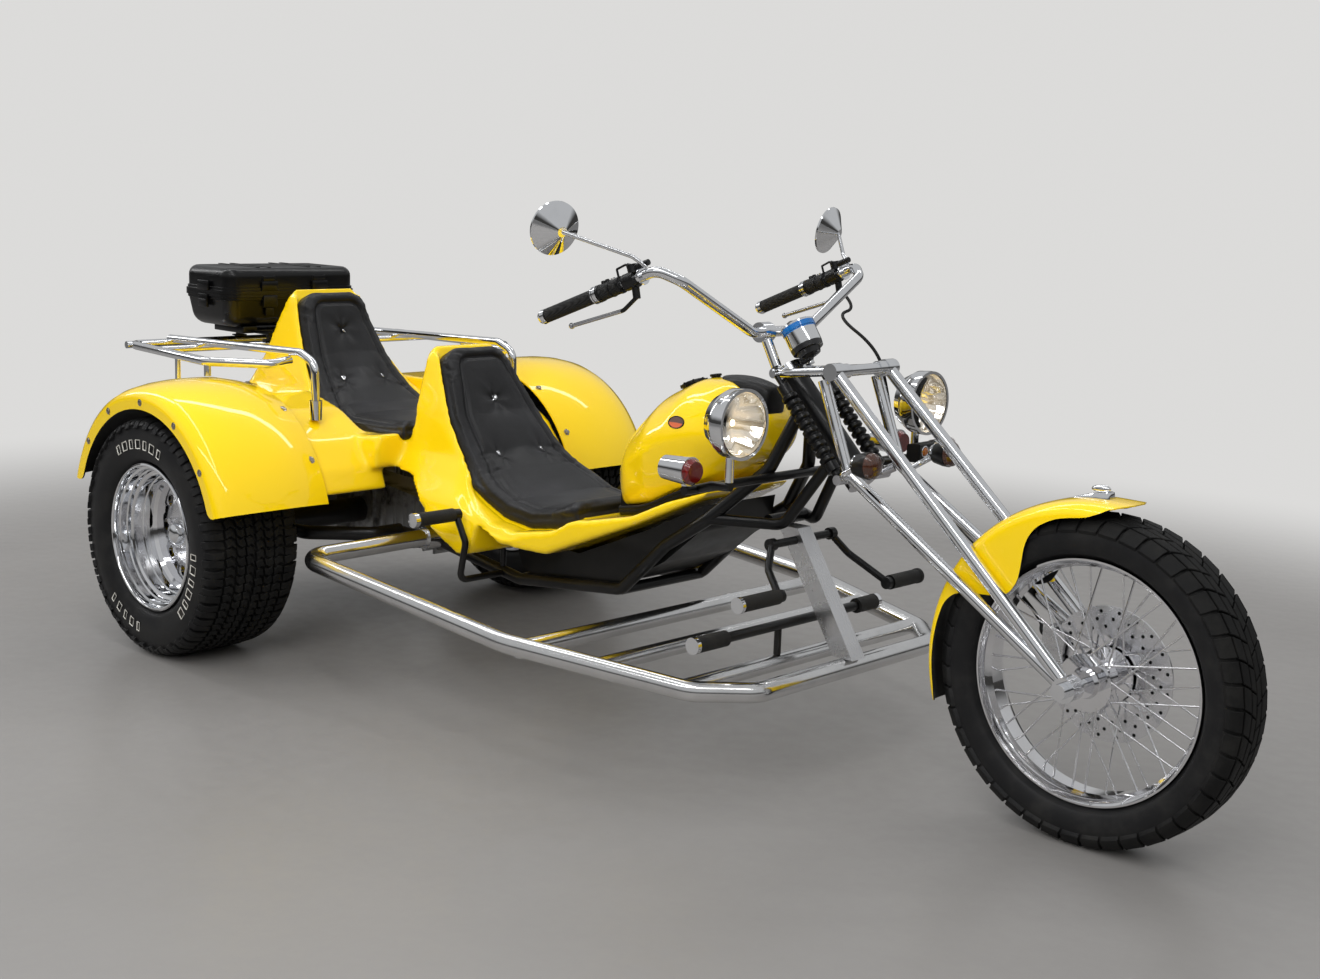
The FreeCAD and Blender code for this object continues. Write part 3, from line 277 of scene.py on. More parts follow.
def tyre_rubber(name, centre, grey):
    """Worn tread in a grey of its own over darker side walls; fine mould lines run round the wheel."""
    f = Finish(name, Specular_IOR_Level=0.25)
    x, _, z = f.split(f.where(centre))
    reach = (x * x + z * z).root()
    worn = reach.ramp(0.31, 0.34)
    grime = f.noise(18, 6, rough=0.65).ramp(0.4, 0.75)
    base = f.mix(worn, srgb(24, 24, 25), srgb(grey, grey, grey))
    f.set(Base_Color=f.mix(grime * 0.16, base, srgb(76, 74, 70)), Roughness=grime * 0.15 + worn * 0.16 + 0.46)
    rings = (reach * 2600).wave() * 0.5 + 0.5
    return f.bump(rings * 0.35 + f.noise(240, 4) * 0.8, 0.0005, 0.45)


def seat_leather(name, colour=srgb(17, 17, 19)):
    """Soft black hide: pebbled grain, broad creases and shine on the high parts."""
    f = Finish(name, Coat_Weight=0.2, Coat_Roughness=0.26, Specular_IOR_Level=0.3)
    pebble = f.cells(420).ramp(0.0, 0.22)
    fold = f.noise(17, 5, warp=1.4, rough=0.55)
    worn = f.noise(7, 4).ramp(0.45, 0.75)
    f.set(Base_Color=f.mix(worn * 0.5, colour, srgb(30, 30, 34)), Roughness=0.46 - worn * 0.12 + pebble * 0.05)
    return f.bump(pebble * 0.14 + fold * 0.8, 0.0028, 0.5)


def clear_glass(name, tint=(1, 1, 1, 1)):
    f = Finish(name, Roughness=0.02, IOR=1.45, Transmission_Weight=1.0)
    shade, _ = f.dust(DUST, f.mix(f.noise(30, 4).ramp(0.5, 0.9) * 0.04, tint, srgb(180, 176, 168)), 0.1, 1.2)
    f.set(Base_Color=shade)
    return f.bump(f.noise(60, 2), 0.0001, 0.1)


def coloured_lens(name, colour, pitch=210.0):
    """Moulded plastic lens, glossy outside, with upright ribs inside, pitch to a metre."""
    f = Finish(name, Coat_Weight=1.0, Coat_Roughness=0.02, Transmission_Weight=0.35, IOR=1.49)
    rib = (f.split(f.where())[1] * (pitch * math.tau)).wave() * 0.5 + 0.5
    f.set(Base_Color=f.mix(rib * 0.6 + f.noise(40, 3) * 0.2, darker(colour, 0.45), colour), Roughness=rib * 0.1 + 0.12)
    return f.bump(rib, 0.0006, 0.4)


def wheel_chrome(name, centre, inner, outer, holes_at=()):
    """Polished wheel with a satin turned face between two radii; holes_at gives rows of drilled openings on its disc,
    each painted as a near-black disc of shade.
    """
    f = Finish(name, Metallic=1.0)
    x, y, z = f.split(f.where(centre))
    reach = (x * x + z * z).root()
    face = reach.ramp(inner - 0.004, inner) * reach.ramp(outer, outer + 0.004, 1.0, 0.0)
    lines = (reach * 2400).wave() * 0.5 + 0.5
    haze = f.noise(16, 5, rough=0.6).ramp(0.4, 0.8)
    colour = f.mix(haze, (0.84, 0.84, 0.86, 1), (0.79, 0.785, 0.78, 1))
    # painted shade: each drilled opening is a near-black disc in the colour, for the shade inside it
    hole_shade = 0.0
    for row, count, turn in holes_at:
        part = ((x.angle(z) / math.tau + turn) * count).fraction() - 0.5
        part = part * (math.tau * row / count)
        away = (part * part + (reach - row) * (reach - row)).root()
        hole_shade = away.ramp(0.0036, 0.0044, 1.0, 0.0) * y.ramp(0.046, 0.048) + hole_shade
    colour = f.mix(hole_shade, colour, (0.03, 0.03, 0.03, 1)) if holes_at else colour
    f.set(Base_Color=colour, Roughness=face * 0.2 + haze * 0.06 + 0.05)
    return f.bump(lines * face * 0.6 + f.noise(60, 3) * 0.2, 0.00006, 0.06)


def cast_metal(name, colour=(0.42, 0.42, 0.42, 1), rough=0.48):
    f = Finish(name, Metallic=0.85)
    oil = f.noise(9, 6, rough=0.65).ramp(0.5, 0.75)
    f.set(Base_Color=f.mix(oil, colour, srgb(38, 33, 27)), Roughness=oil * 0.2 + rough)
    return f.bump(f.noise(190, 5, rough=0.6), 0.0004, 0.5)


def gauge_metal(name):
    """Polished cup with a blue band below its bezel and a black foot."""
    f = Finish(name, Coat_Weight=0.4, Coat_Roughness=0.03)
    foot, top = at(1692, 0, 962), at(1640, 0, 1037)
    line = (top - foot).normalized()
    x, _, z = f.split(f.where(foot))
    along = x * line.x + z * line.z
    band = along.ramp(0.0650, 0.0658) * along.ramp(0.0815, 0.0823, 1.0, 0.0)
    base = along.ramp(0.0290, 0.0298, 1.0, 0.0)
    colour = f.mix(base, f.mix(band, (0.86, 0.87, 0.88, 1), srgb(20, 104, 176)), srgb(20, 20, 22))
    f.set(Base_Color=colour, Metallic=(band + base) * -1.0 + 1.0, Roughness=f.noise(30, 3) * 0.1 + base * 0.3 + 0.06)
    return f.bump(f.noise(200, 2), 0.0001, 0.2)


LAMP, LAMP_Y = (1712, 0, 838), 350     # headlights: place between their middles, and how far each is to its side


def lamp_reflector(name):
    """Silvered reflector, with a painted warm glow near the bulb put into its emission."""
    f = Finish(name, Metallic=1.0, Emission_Strength=1.0)
    _, y, z = f.split(f.where(at(*LAMP)))
    side = y.size() - LAMP_Y / 1000
    reach = (side * side + z * z).root()
    # painted light: the reflector itself glows warm round the bulb, fading outward, in faint rays
    painted_glow = reach.ramp(0.008, 0.075, 1.0, 0.0)
    rays = (side.angle(z) * 13).wave() * 0.5 + 0.5
    f.set(Base_Color=(0.92, 0.91, 0.88, 1), Roughness=f.noise(200, 2) * 0.06 + 0.05,
          Emission_Color=f.mix(painted_glow * (rays * 0.5 + 0.5), (0.10, 0.085, 0.06, 1), (1.0, 0.72, 0.36, 1)))
    return f.bump(rays, 0.0016, 0.5)


def lit_bulb(name):
    f = Finish(name, Roughness=0.3, Emission_Strength=5.0)
    warm = f.noise(90, 2).ramp(0.2, 0.8)
    f.set(Base_Color=(0.9, 0.85, 0.75, 1), Emission_Color=f.mix(warm, (1.0, 0.78, 0.46, 1), (1.0, 0.9, 0.7, 1)))
    return f.bump(f.noise(160, 2), 0.0004, 0.2)


def badge_enamel(name):
    """Plain two-tone enamel: dark brown above, orange below, with fine crazing."""
    f = Finish(name, Coat_Weight=1.0, Coat_Roughness=0.04, Roughness=0.3)
    z = f.split(f.where(at(1413, 0, 783)))[2]
    wavy = z + f.noise(60, 2) * 0.004
    f.set(Base_Color=f.mix(wavy.ramp(0.001, 0.0024), srgb(206, 92, 40), srgb(86, 58, 50)))
    return f.bump(f.noise(300, 3), 0.0003, 0.3)


def white_print(name):
    f = Finish(name, Roughness=0.6)
    worn = f.noise(60, 5, rough=0.7).ramp(0.35, 0.75)
    f.set(Base_Color=f.mix(worn, srgb(226, 224, 216), srgb(168, 164, 154)), Roughness=worn * 0.2 + 0.5)
    return f.bump(f.noise(300, 3), 0.0002, 0.3)


def striped_rubber(name):
    """Black rubber with a knurl of crossed ridges, painted darker in the grooves and lighter on the ridge tops as
    painted shade and light.
    """
    f = Finish(name)
    _, y, z = f.split(f.where())
    knurl = ((y * 1500 + z * 1500).wave() * (y * 1500 - z * 1500).wave()).ramp(-0.2, 0.6)
    # painted shade and light: the colour follows the relief, near black in the grooves and grey on the ridge tops
    shade, _ = f.dust(DUST, f.mix(knurl, srgb(10, 10, 10), srgb(38, 38, 38)), 0.35, 0.6)
    f.set(Base_Color=shade, Roughness=knurl * -0.15 + 0.7)
    return f.bump(knurl, 0.0012, 0.9)


FINISHES = {}


def finish(name):
    return FINISHES[name].material


def mix_finishes():
    yellow = tuple(bpy.context.scene.trike_paint.body_colour) + (1.0,)
    FINISHES.update({
        "yellow": gloss_paint("Yellow gloss paint", yellow),
        "chrome": mirror_chrome("Show chrome"),
        "dark_chrome": mirror_chrome("Aged chrome", (0.6, 0.6, 0.62, 1), 0.1),
        "alloy": brushed_alloy("Polished alloy"),
        "rail": brushed_alloy("Polished foot rails", (0.78, 0.78, 0.78, 1), 0.1, (30, 1, 1)),
        "enamel": black_enamel("Black frame enamel"),
        "belly": black_enamel("Black underpan", srgb(7, 7, 7), 0.4, 0.3),
        "plastic": black_enamel("Black plastic", srgb(9, 9, 10), 0.32, 0.08),
        "case": black_enamel("Black case shell", srgb(6, 6, 7), 0.22, 0.05),
        "rubber": moulded_rubber("Black rubber"),
        "front_tyre": tyre_rubber("Front tyre rubber", at(*FRONT), 17),
        "rear_tyre": tyre_rubber("Rear tyre rubber", at(0, 0, REAR_Z), 14),
        "leather": seat_leather("Black seat leather"),
        "glass": clear_glass("Clear lamp glass"),
        "red": coloured_lens("Red lens", srgb(150, 12, 10)),
        "amber": coloured_lens("Amber lens", srgb(232, 132, 24), 260),
        "smoke": coloured_lens("Smoked orange lens", srgb(96, 52, 30), 180),
        "front_wheel": wheel_chrome("Front wheel chrome", at(*FRONT), 0.088, 0.15,
                                    ((0.104, 20, 0.0), (0.121, 20, 0.025), (0.137, 20, 0.01))),
        "rear_wheel": wheel_chrome("Rear wheel chrome", at(0, 0, REAR_Z), 0.04, 0.125),
        "cast": cast_metal("Oily cast alloy"),
        "soot": black_enamel("Heat-stained exhaust", srgb(30, 26, 24), 0.5, 0.6),
        "gauge": gauge_metal("Gauge cup"),
        "vinyl": seat_leather("Black vinyl cover", srgb(12, 12, 13)),
        "reflector": lamp_reflector("Lamp reflector"),
        "bulb": lit_bulb("Lit bulb"),
        "badge": badge_enamel("Badge enamel"),
        "white": white_print("White tyre marks"),
        "knurl": striped_rubber("Knurled rubber"),
        "bolt": mirror_chrome("Weathered bolts", (0.45, 0.42, 0.38, 1), 0.22),
    })


SKINS = {
    "chrome": ["girder_fork", "handlebar", "mirrors", "front_axle", "headlights", "bar_indicators",
               "luggage_rack", "bar_controls", "tail_lamps", "steering_stem", "fork_lamps"],
    "rail": ["foot_frame"],
    "alloy": ["front_brake", "front_post"],
    "enamel": ["frame_main", "rear_axle", "lamp_bar", "rear_struts", "struts", "pedals"],
    "belly": ["belly_pan"],
    "plastic": ["lamp_box"],
    "rubber": ["tank_trim"],
    "knurl": ["rider_pegs", "passenger_pegs", "grips"],
    "glass": ["headlight_lenses"],
    "red": ["indicator_lenses"],
    "amber": ["lamp_box_lenses"],
    "smoke": ["fork_lamp_lenses"],
    "front_wheel": ["front_wheel"],
    "rear_wheel": ["rear_wheel_right", "rear_wheel_left"],
    "cast": ["gearbox", "engine"],
    "soot": ["exhaust"],
    "gauge": ["gauge"],
}
# parts of a piece that take another finish, by place in millimetres from the rear axle
ZONES = {
    "rider_pegs": [("enamel", lambda x, y, z: -299 < y < 189), ("chrome", lambda x, y, z: y < -400.5 or y > 262.5)],
    "pedals": [("knurl", lambda x, y, z: z < 470 and abs(y) > 198), ("chrome", lambda x, y, z: abs(y) > 327)],
    "passenger_pegs": [("enamel", lambda x, y, z: abs(y) < 326), ("chrome", lambda x, y, z: abs(y) > 446.5)],
    "bar_controls": [("dark_chrome", lambda x, y, z: 1225 < x <= 1432), ("plastic", lambda x, y, z: x > 1432)],
    "fork_lamps": [("plastic", lambda x, y, z: x > 1960)],
    "steering_stem": [("dark_chrome", lambda x, y, z: z < 860)],
}


# ---- modelling helpers -----------------------------------------------------------------
BODY_OF = {node: body for body, nodes in frame["record"]["behaviour"]["bodies"].items() for node in nodes}
SLOT_OF = {part["node"]: part["material_slot"] for part in frame["record"]["subparts"]}


def piece(bm, name, body, *finishes, sharp=35.0, recalc=True, slot=None):
    """Turns a bmesh in metres into a finished piece that rides on a body."""
    bmesh.ops.remove_doubles(bm, verts=bm.verts, dist=0.00002)
    if recalc:
        bmesh.ops.recalc_face_normals(bm, faces=bm.faces)
    mesh = bpy.data.meshes.new(name)
    bm.to_mesh(mesh)
    bm.free()
    if "custom_normal" in mesh.attributes:
        mesh.attributes.remove(mesh.attributes["custom_normal"])
    obj = bpy.data.objects.new(name, mesh)
    bpy.context.scene.collection.objects.link(obj)
    for key in finishes:
        mesh.materials.append(finish(key))
    mesh.shade_smooth()
    mesh.set_sharp_from_angle(angle=math.radians(sharp))
    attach(obj, body)
    return obj if slot else obj


def merged(node):
    """Joined-up copy of a construction solid's surface."""
    bm = bmesh.new()
    bm.from_mesh(NODES[node].data)
    bmesh.ops.remove_doubles(bm, verts=bm.verts, dist=0.00001)
    return bm


def skin(node, key, zones=(), sharp=30.0):
    """Smoothly shaded surface that stands for a construction solid; zones take other finishes."""
    bm = merged(node)
    for face in bm.faces:
        face.material_index = 0
        for k, (_, test) in enumerate(zones, 1):
            if test(*mm(face.calc_center_median())):
                face.material_index = k
    obj = piece(bm, node + "_surface", BODY_OF[node], key, *[zone[0] for zone in zones], sharp=sharp,
                recalc=False, slot=SLOT_OF[node])
    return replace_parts(obj, node)


def evaluated_mesh(obj):
    return bpy.data.meshes.new_from_object(obj.evaluated_get(bpy.context.evaluated_depsgraph_get()))


def bake(obj):
    """Applies a piece's modifiers."""
    mesh = evaluated_mesh(obj)
    old, obj.data = obj.data, mesh
    obj.modifiers.clear()
    bpy.data.meshes.remove(old)
    mesh.name = obj.name
    return obj


def moulded(node, key, voxel, rounds, name=None):
    """Solid remade as one moulding on a grid of voxel millimetres, its edges rounded by rounds of smoothing."""
    obj = piece(merged(node), name or node + "_moulding", BODY_OF[node], key, recalc=False, slot=SLOT_OF[node])
    grid = obj.modifiers.new("Grid", "REMESH")
    grid.mode = "VOXEL"
    grid.voxel_size = voxel / 1000
    grid.use_smooth_shade = True
    soft = obj.modifiers.new("Round", "SMOOTH")
    soft.factor = 0.5
    soft.iterations = rounds
    bake(obj)
    obj.data.materials.clear()
    obj.data.materials.append(finish(key))
    obj.data.shade_smooth()
    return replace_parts(obj, node)


def turn_about(rows, centre, axis, steps=96, bm=None, closed=False, slot=0):
    """Lathe work: rows of (along the axis, radius) in millimetres about a centre."""
    bm = bm or bmesh.new()
    axis = Vector(axis).normalized()
    side = axis.orthogonal().normalized()
    ring = [bm.verts.new(centre + (axis * a + side * r) / 1000) for a, r in rows]
    edges = [bm.edges.new(pair) for pair in zip(ring, ring[1:])]
    if closed:
        edges.append(bm.edges.new((ring[-1], ring[0])))
    made = bmesh.ops.spin(bm, geom=ring + edges, cent=centre, axis=axis, angle=math.tau, steps=steps,
                          use_merge=True, use_duplicate=False)
    for face in {f for v in made["geom_last"] if isinstance(v, bmesh.types.BMVert) for f in v.link_faces}:
        face.material_index = slot
    return bm


def bar(bm, start, end, radius, tip=None, sides=16):
    """Round bar between two places in metres; radius in millimetres."""
    line = end - start
    bmesh.ops.create_cone(bm, cap_ends=True, segments=sides, radius1=radius / 1000,
                          radius2=(radius if tip is None else tip) / 1000, depth=line.length,
                          matrix=Matrix.Translation((start + end) / 2)
                          @ line.to_track_quat("Z", "Y").to_matrix().to_4x4())


def round_off(bm, edges, offset, segments):
    """Rounds edges; offset in the units of the bmesh."""
    bmesh.ops.bevel(bm, geom=edges, offset=offset, affect="EDGES", segments=segments, profile=0.5, material=-1)


def box(bm, low, high):
    """Sharp block between two corners in metres."""
    return bmesh.ops.create_cube(bm, size=1.0, matrix=Matrix.Translation((low + high) / 2)
                                 @ Matrix.Diagonal((*(high - low), 1.0)))["verts"]


def block(bm, low, high, bevel):
    """Rounded block between two corners in metres; bevel in millimetres."""
    round_off(bm, list({e for v in box(bm, low, high) for e in v.link_edges}), bevel / 1000, 2)


def cut_at(bm, spots, normal):
    """Cuts every face by planes through some places."""
    for spot in spots:
        bmesh.ops.bisect_plane(bm, geom=bm.verts[:] + bm.edges[:] + bm.faces[:], plane_co=spot, plane_no=normal)


def loft(bm, rings):
    """Skin through closed rings of places in metres, with both ends filled."""
    loops = []
    for ring in rings:
        made = [bm.verts.new(p) for p in ring]
        loops.append([bm.edges.new(pair) for pair in zip(made, made[1:] + made[:1])])
    for one, two in zip(loops, loops[1:]):
        bmesh.ops.bridge_loops(bm, edges=one + two)
    for end in (loops[0], loops[-1]):
        bmesh.ops.contextual_create(bm, geom=end)


def hose(name, route, radius, body, key, slot=None):
    """Round rubber line on one smooth curve through the bends of its route, in millimetres."""
    data = bpy.data.curves.new(name, "CURVE")
    data.dimensions = "3D"
    line = data.splines.new("NURBS")
    line.points.add(len(route) - 1)
    for point, place in zip(line.points, route):
        point.co = (*at(*place), 1.0)
    line.order_u = 3
    line.use_endpoint_u = True
    line.resolution_u = 10
    data.bevel_depth = radius / 1000
    data.bevel_resolution = 3
    data.use_fill_caps = True
    loose = bpy.data.objects.new(name + "_line", data)
    bpy.context.scene.collection.objects.link(loose)
    bpy.context.view_layer.update()
    mesh = evaluated_mesh(loose)
    bpy.data.objects.remove(loose)
    bm = bmesh.new()
    bm.from_mesh(mesh)
    bpy.data.meshes.remove(mesh)
    return piece(bm, name, body, key, sharp=50, slot=slot)


# ---- tyres -----------------------------------------------------------------------------
def crown_curve(profile):
    """Arc-length lookup along a tyre's tread profile of (across, radius) millimetres."""
    runs = [0.0]
    for (a, b), (c, d) in zip(profile, profile[1:]):
        runs.append(runs[-1] + math.hypot(c - a, d - b))
    half = runs[-1] / 2

    def spot(s):
        s = min(max(s + half, 0.0), runs[-1])
        for k in range(len(profile) - 1):
            if s <= runs[k + 1] or k == len(profile) - 2:
                t = (s - runs[k]) / (runs[k + 1] - runs[k])
                (a, b), (c, d) = profile[k], profile[k + 1]
                along = Vector((c - a, d - b)).normalized()
                return a + (c - a) * t, b + (d - b) * t, -along.y, along.x
    return spot, half


def mirrored(points):
    """Profile from its edge to the middle plane, and on to the same edge on the other side."""
    return points + [(-a, r) for a, r in points[-2::-1]]


def smooth_profile(points):
    """Profile with its corners cut twice, between the same ends."""
    for _ in range(2):
        cut = [points[0]]
        for (a, b), (c, d) in zip(points, points[1:]):
            cut += [(a * 0.75 + c * 0.25, b * 0.75 + d * 0.25), (a * 0.25 + c * 0.75, b * 0.25 + d * 0.75)]
        points = cut + [points[-1]]
    return points


def lug(bm, u0, u1, v0, v1, height, skew, nick=0.0, lean=0.0, pitch=50.0):
    """One tread block on the flat: u in shares of the pitch, v in millimetres across the tread.

    Its ends are kinked by nick, a share of the pitch, its sides raked by lean millimetres, and its
    outer part runs ahead by skew shares of the pitch a millimetre.
    """
    middle = (v0 + v1) / 2
    outline = [(u0, v0 - lean), (u1, v0 + lean), (u1 + nick, middle + lean), (u1, v1 + lean), (u0, v1 - lean),
               (u0 + nick, middle - lean)]
    sunk = 2.0
    made = [bm.verts.new(((u + skew * (abs(v) - abs(v0))) * pitch, v, -sunk)) for u, v in outline]
    face = bm.faces.new(made)
    face.normal_update()
    if face.normal.z < 0:
        face.normal_flip()
    top = bmesh.ops.extrude_face_region(bm, geom=[face])["geom"]
    bmesh.ops.translate(bm, verts=[v for v in top if isinstance(v, bmesh.types.BMVert)], vec=(0, 0, height + sunk))
    cap = [f for f in top if isinstance(f, bmesh.types.BMFace)]
    bmesh.ops.delete(bm, geom=[face], context="FACES_ONLY")
    round_off(bm, [e for f in cap for e in f.edges], 1.3, 1)


def tyre(name, body, node, centre, outer, width, bead, rim_half, tread_half, depth, lugs, pitches, key, side=1):
    """Carcass turned on the wheel's axle with tread lugs bent round its crown."""
    base = outer - depth
    half = width / 2
    wall = bead + (outer - bead) * 0.45
    flat = [(tread_half * 0.72, base), (0, base + 0.5)]
    rows = [(rim_half - 9, bead + 1), (rim_half, bead + 7), (half - 10, bead + (outer - bead) * 0.14),
            (half - 0.6, wall), (half - 5, wall + (outer - wall) * 0.42), (tread_half + 4, base - 7), *flat]
    bm = turn_about(smooth_profile(mirrored(rows)), centre, LEFT, 120)
    crown = [(half - 3, wall + (outer - wall) * 0.30), (half - 7, base - 24), (tread_half + 2, base - 6), *flat]
    spot, reach = crown_curve(smooth_profile(mirrored(crown)[::-1]))
    pitch = math.tau * outer / pitches
    one = bmesh.new()
    for row in lugs:
        lug(one, *row, pitch=pitch)
    cut_at(one, [(0, v, 0) for v in range(-int(reach) - 12, int(reach) + 12, 12)], LEFT)
    source = bpy.data.meshes.new("lug")
    one.to_mesh(source)
    one.free()
    for k in range(pitches):
        start = len(bm.verts)
        bm.from_mesh(source)
        bm.verts.ensure_lookup_table()
        for v in bm.verts[start:]:
            u, s, h = v.co
            across, radius, nx, nr = spot(s)
            v.co = round_axle(centre, (k * pitch + u) / outer, radius + nr * h, (across + nx * h) * side)
    bpy.data.meshes.remove(source)
    obj = piece(bm, name, body, key, sharp=32, slot="tyre_rubber")
    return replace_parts(obj, node)


# tread rows: start and end in shares of the pitch, inner and outer edge from the middle, height, skew, nick, lean
REAR_ROWS = [(0.04, 0.44, 5, 26, 10, 0.004, 0.14, 3.0), (0.54, 0.94, 5, 26, 10, 0.004, 0.14, 1.5),
             (0.20, 0.60, 32, 56, 10, 0.002, -0.14, 3.0), (0.70, 1.10, 32, 56, 10, 0.002, -0.14, 2.0),
             (0.06, 0.45, 62, 88, 10, 0.003, 0.14, 3.0), (0.56, 0.95, 62, 88, 10, 0.003, 0.14, 1.5),
             (0.10, 0.50, 95, 150, 9, 0.001, 0.06, 1.5), (0.60, 0.98, 95, 142, 9, 0.001, -0.06, 0.5)]
FRONT_ROWS = [(0.03, 0.93, 2, 19, 8, 0.012), (0.30, 1.20, 23, 45, 8, 0.011), (0.60, 1.46, 49, 88, 8, 0.004)]


def both_sides(rows, shift):
    """Tread rows of the right half and, ahead by a share of the pitch, of the left half."""
    return [(u0 + ahead, u1 + ahead, v0 * side, v1 * side, *rest)
            for side, ahead in ((-1, 0.0), (1, shift)) for u0, u1, v0, v1, *rest in rows]


def wall_marks(name, body, centre, side, face, radius, height, groups):
    """Raised plain bars round a tyre's outer wall; each bar has a sunk middle."""
    bm = bmesh.new()
    for start, bars, step, length in groups:
        for k in range(bars):
            wide = length if k % 2 else length * 0.7
            low, high = sorted((0, side * 0.0016))
            made = box(bm, Vector((-wide / 2000, low, (radius - height / 2) / 1000)),
                       Vector((wide / 2000, high, (radius + height / 2) / 1000)))
            out = [f for f in {f for v in made for f in v.link_faces} if f.normal.y * side > 0.5]
            bmesh.ops.inset_region(bm, faces=out, thickness=0.0032, depth=-0.0012)
            mine = list(set(made) | {v for f in out for e in f.edges for g in e.link_faces for v in g.verts})
            turn = Matrix.Rotation(math.radians(start + k * step), 3, "Y")
            bmesh.ops.rotate(bm, verts=mine, cent=(0, 0, 0), matrix=turn)
            bmesh.ops.translate(bm, verts=mine, vec=centre + Vector((0, side * face / 1000, 0)))
            for f in out:
                f.material_index = 1
    piece(bm, name, body, "white", "rubber", sharp=30)


# ---- seats -----------------------------------------------------------------------------
# side line of each seat from the top of its back forward, its half width by height, and its buttons
SEATS = {
    "seat_rear": {
        "line": [(-258, 980), (-218, 890), (-159, 790), (-119, 741), (-58, 686), (12, 640), (90, 617), (300, 622),
                 (388, 633)],
        "width": [(645, 200), (700, 170), (800, 147), (1004, 108)],
        "buttons": [(-170, 0, 881), (-83, -74, 728), (-83, 74, 728)]},
    "seat_front": {
        "line": [(436, 868), (487, 787), (553, 687), (640, 587), (705, 537), (768, 505), (840, 476), (940, 466),
                 (1060, 486), (1120, 508)],
        "width": [(525, 206), (580, 176), (700, 157), (880, 106)],
        "buttons": [(549, 0, 738), (655, -80, 593), (655, 80, 593)]},
}
TOP_CORNER = 52.0      # radius of the corners at the top of a back
ROLL = 38.0            # width of the rolled edge, from the outer edge to its seam
LIP = 105.0            # length of the front seat's full front edge


def seat_place(line, x, z):
    """Distance along a seat's side line, height above it, and the line's length."""
    best, run = (1e9, 0, 0), 0.0
    for (a, b), (c, d) in zip(line, line[1:]):
        length = math.hypot(c - a, d - b)
        ux, uz = (c - a) / length, (d - b) / length
        t = min(max((x - a) * ux + (z - b) * uz, 0.0), length)
        dx, dz = x - a - ux * t, z - b - uz * t
        away = math.hypot(dx, dz)
        if away < best[0]:
            best = (away, run + t, ux * dz - uz * dx)
        run += length
    return best[1], best[2], run


def bell(value, width):
    return math.exp(-(value / width) ** 2)


def round_corners(mesh, line, table):
    """Rounds the top corners of a seat's back."""
    fall = (Vector((line[1][0] - line[0][0], 0, line[1][1] - line[0][1]))).normalized() / 1000
    for v in mesh.vertices:
        x, y, z = mm(v.co)
        run, _, _ = seat_place(line, x, z)
        beside = max(along_table(table, z)[0] - abs(y), 0.0)
        away = math.hypot(TOP_CORNER - run, TOP_CORNER - beside)
        if run < TOP_CORNER and beside < TOP_CORNER and away > TOP_CORNER:
            share = 1 - TOP_CORNER / away
            v.co += fall * ((TOP_CORNER - run) * share)
            v.co.y -= math.copysign((TOP_CORNER - beside) * share, y) / 1000


def swell(obj, line, puff, cap):
    """Swells a pad by air pressure, held along its base; no point moves more than cap millimetres."""
    rest = [v.co.copy() for v in obj.data.vertices]
    base = [k for k, v in enumerate(rest) if seat_place(line, mm(v)[0], mm(v)[2])[1] < 0]
    obj.vertex_groups.new(name="held").add(base, 1.0, "REPLACE")
    cloth = obj.modifiers.new("Cover", "CLOTH")
    cloth.settings.quality = 5
    cloth.settings.use_pressure = True
    cloth.settings.uniform_pressure_force = puff
    cloth.settings.effector_weights.gravity = 0.0
    cloth.settings.vertex_group_mass = "held"
    cloth.settings.tension_stiffness = 25
    cloth.settings.compression_stiffness = 25
    cloth.settings.bending_stiffness = 2.0
    cloth.point_cache.frame_start, cloth.point_cache.frame_end = 1, 20
    for frame_number in range(1, 21):
        bpy.context.scene.frame_set(frame_number)
    bake(obj)
    bpy.context.scene.frame_set(1)
    for v, start in zip(obj.data.vertices, rest):
        move = v.co - start
        if move.length > cap / 1000:
            v.co = start + move.normalized() * cap / 1000
    obj.vertex_groups.clear()


def sew(mesh, node):
    """Draws in a seam inside the rolled edge and a dimple at each button, and fills the front edge."""
    line, table, buttons = SEATS[node].values()
    normals = [v.normal.copy() for v in mesh.vertices]
    for v, normal in zip(mesh.vertices, normals):
        x, y, z = mm(v.co)
        run, up, total = seat_place(line, x, z)
        if up < 4:
            continue
        show = min((up - 4) / 10, 1.0)
        wide = along_table(table, z)[0]
        corner = 70 if run < 200 else 40
        side_in, end_in = wide - abs(y), min(run, total - run + 6)
        qx, qz = max(corner - side_in, 0.0), max(corner - end_in, 0.0)
        edge = min(side_in, end_in)
        if qx and qz:
            edge = min(corner - math.hypot(qx, qz), max(side_in, 0), max(end_in, 0))
        push = -7.0 * bell(edge - ROLL, 5.0) - 2.2 * bell(edge - ROLL - 9, 3.0)
        if 0 < edge < ROLL:
            push += 3.0 * math.sin(math.pi * edge / ROLL)
        if edge > ROLL:
            push += 2.5 * min((edge - ROLL) / 40, 1.0)
        for bx, by, bz in buttons:
            away = math.dist((x, y, z), (bx, by, bz))
            around = math.atan2(y - by, z - bz)
            push -= 11.0 * bell(away, 15.0) + 6.5 * bell(away, 46.0) * (1 + 0.4 * math.cos(5 * around))
        if z < 620 and edge < 60 and run > 250:
            push += 5.0 * min((620 - z) / 60, 1.0) * min((60 - edge) / 20, 1.0)
        if node == "seat_front":
            lip = run - (total - LIP)
            push -= 5.0 * bell(lip, 5.0) * (1 if abs(y) < wide - 30 else 0.3)
            if lip > 0:
                push += 6.0 * math.sin(math.pi * min(lip / LIP, 1))
        v.co += normal * (push * show / 1000)
    mesh.shade_smooth()


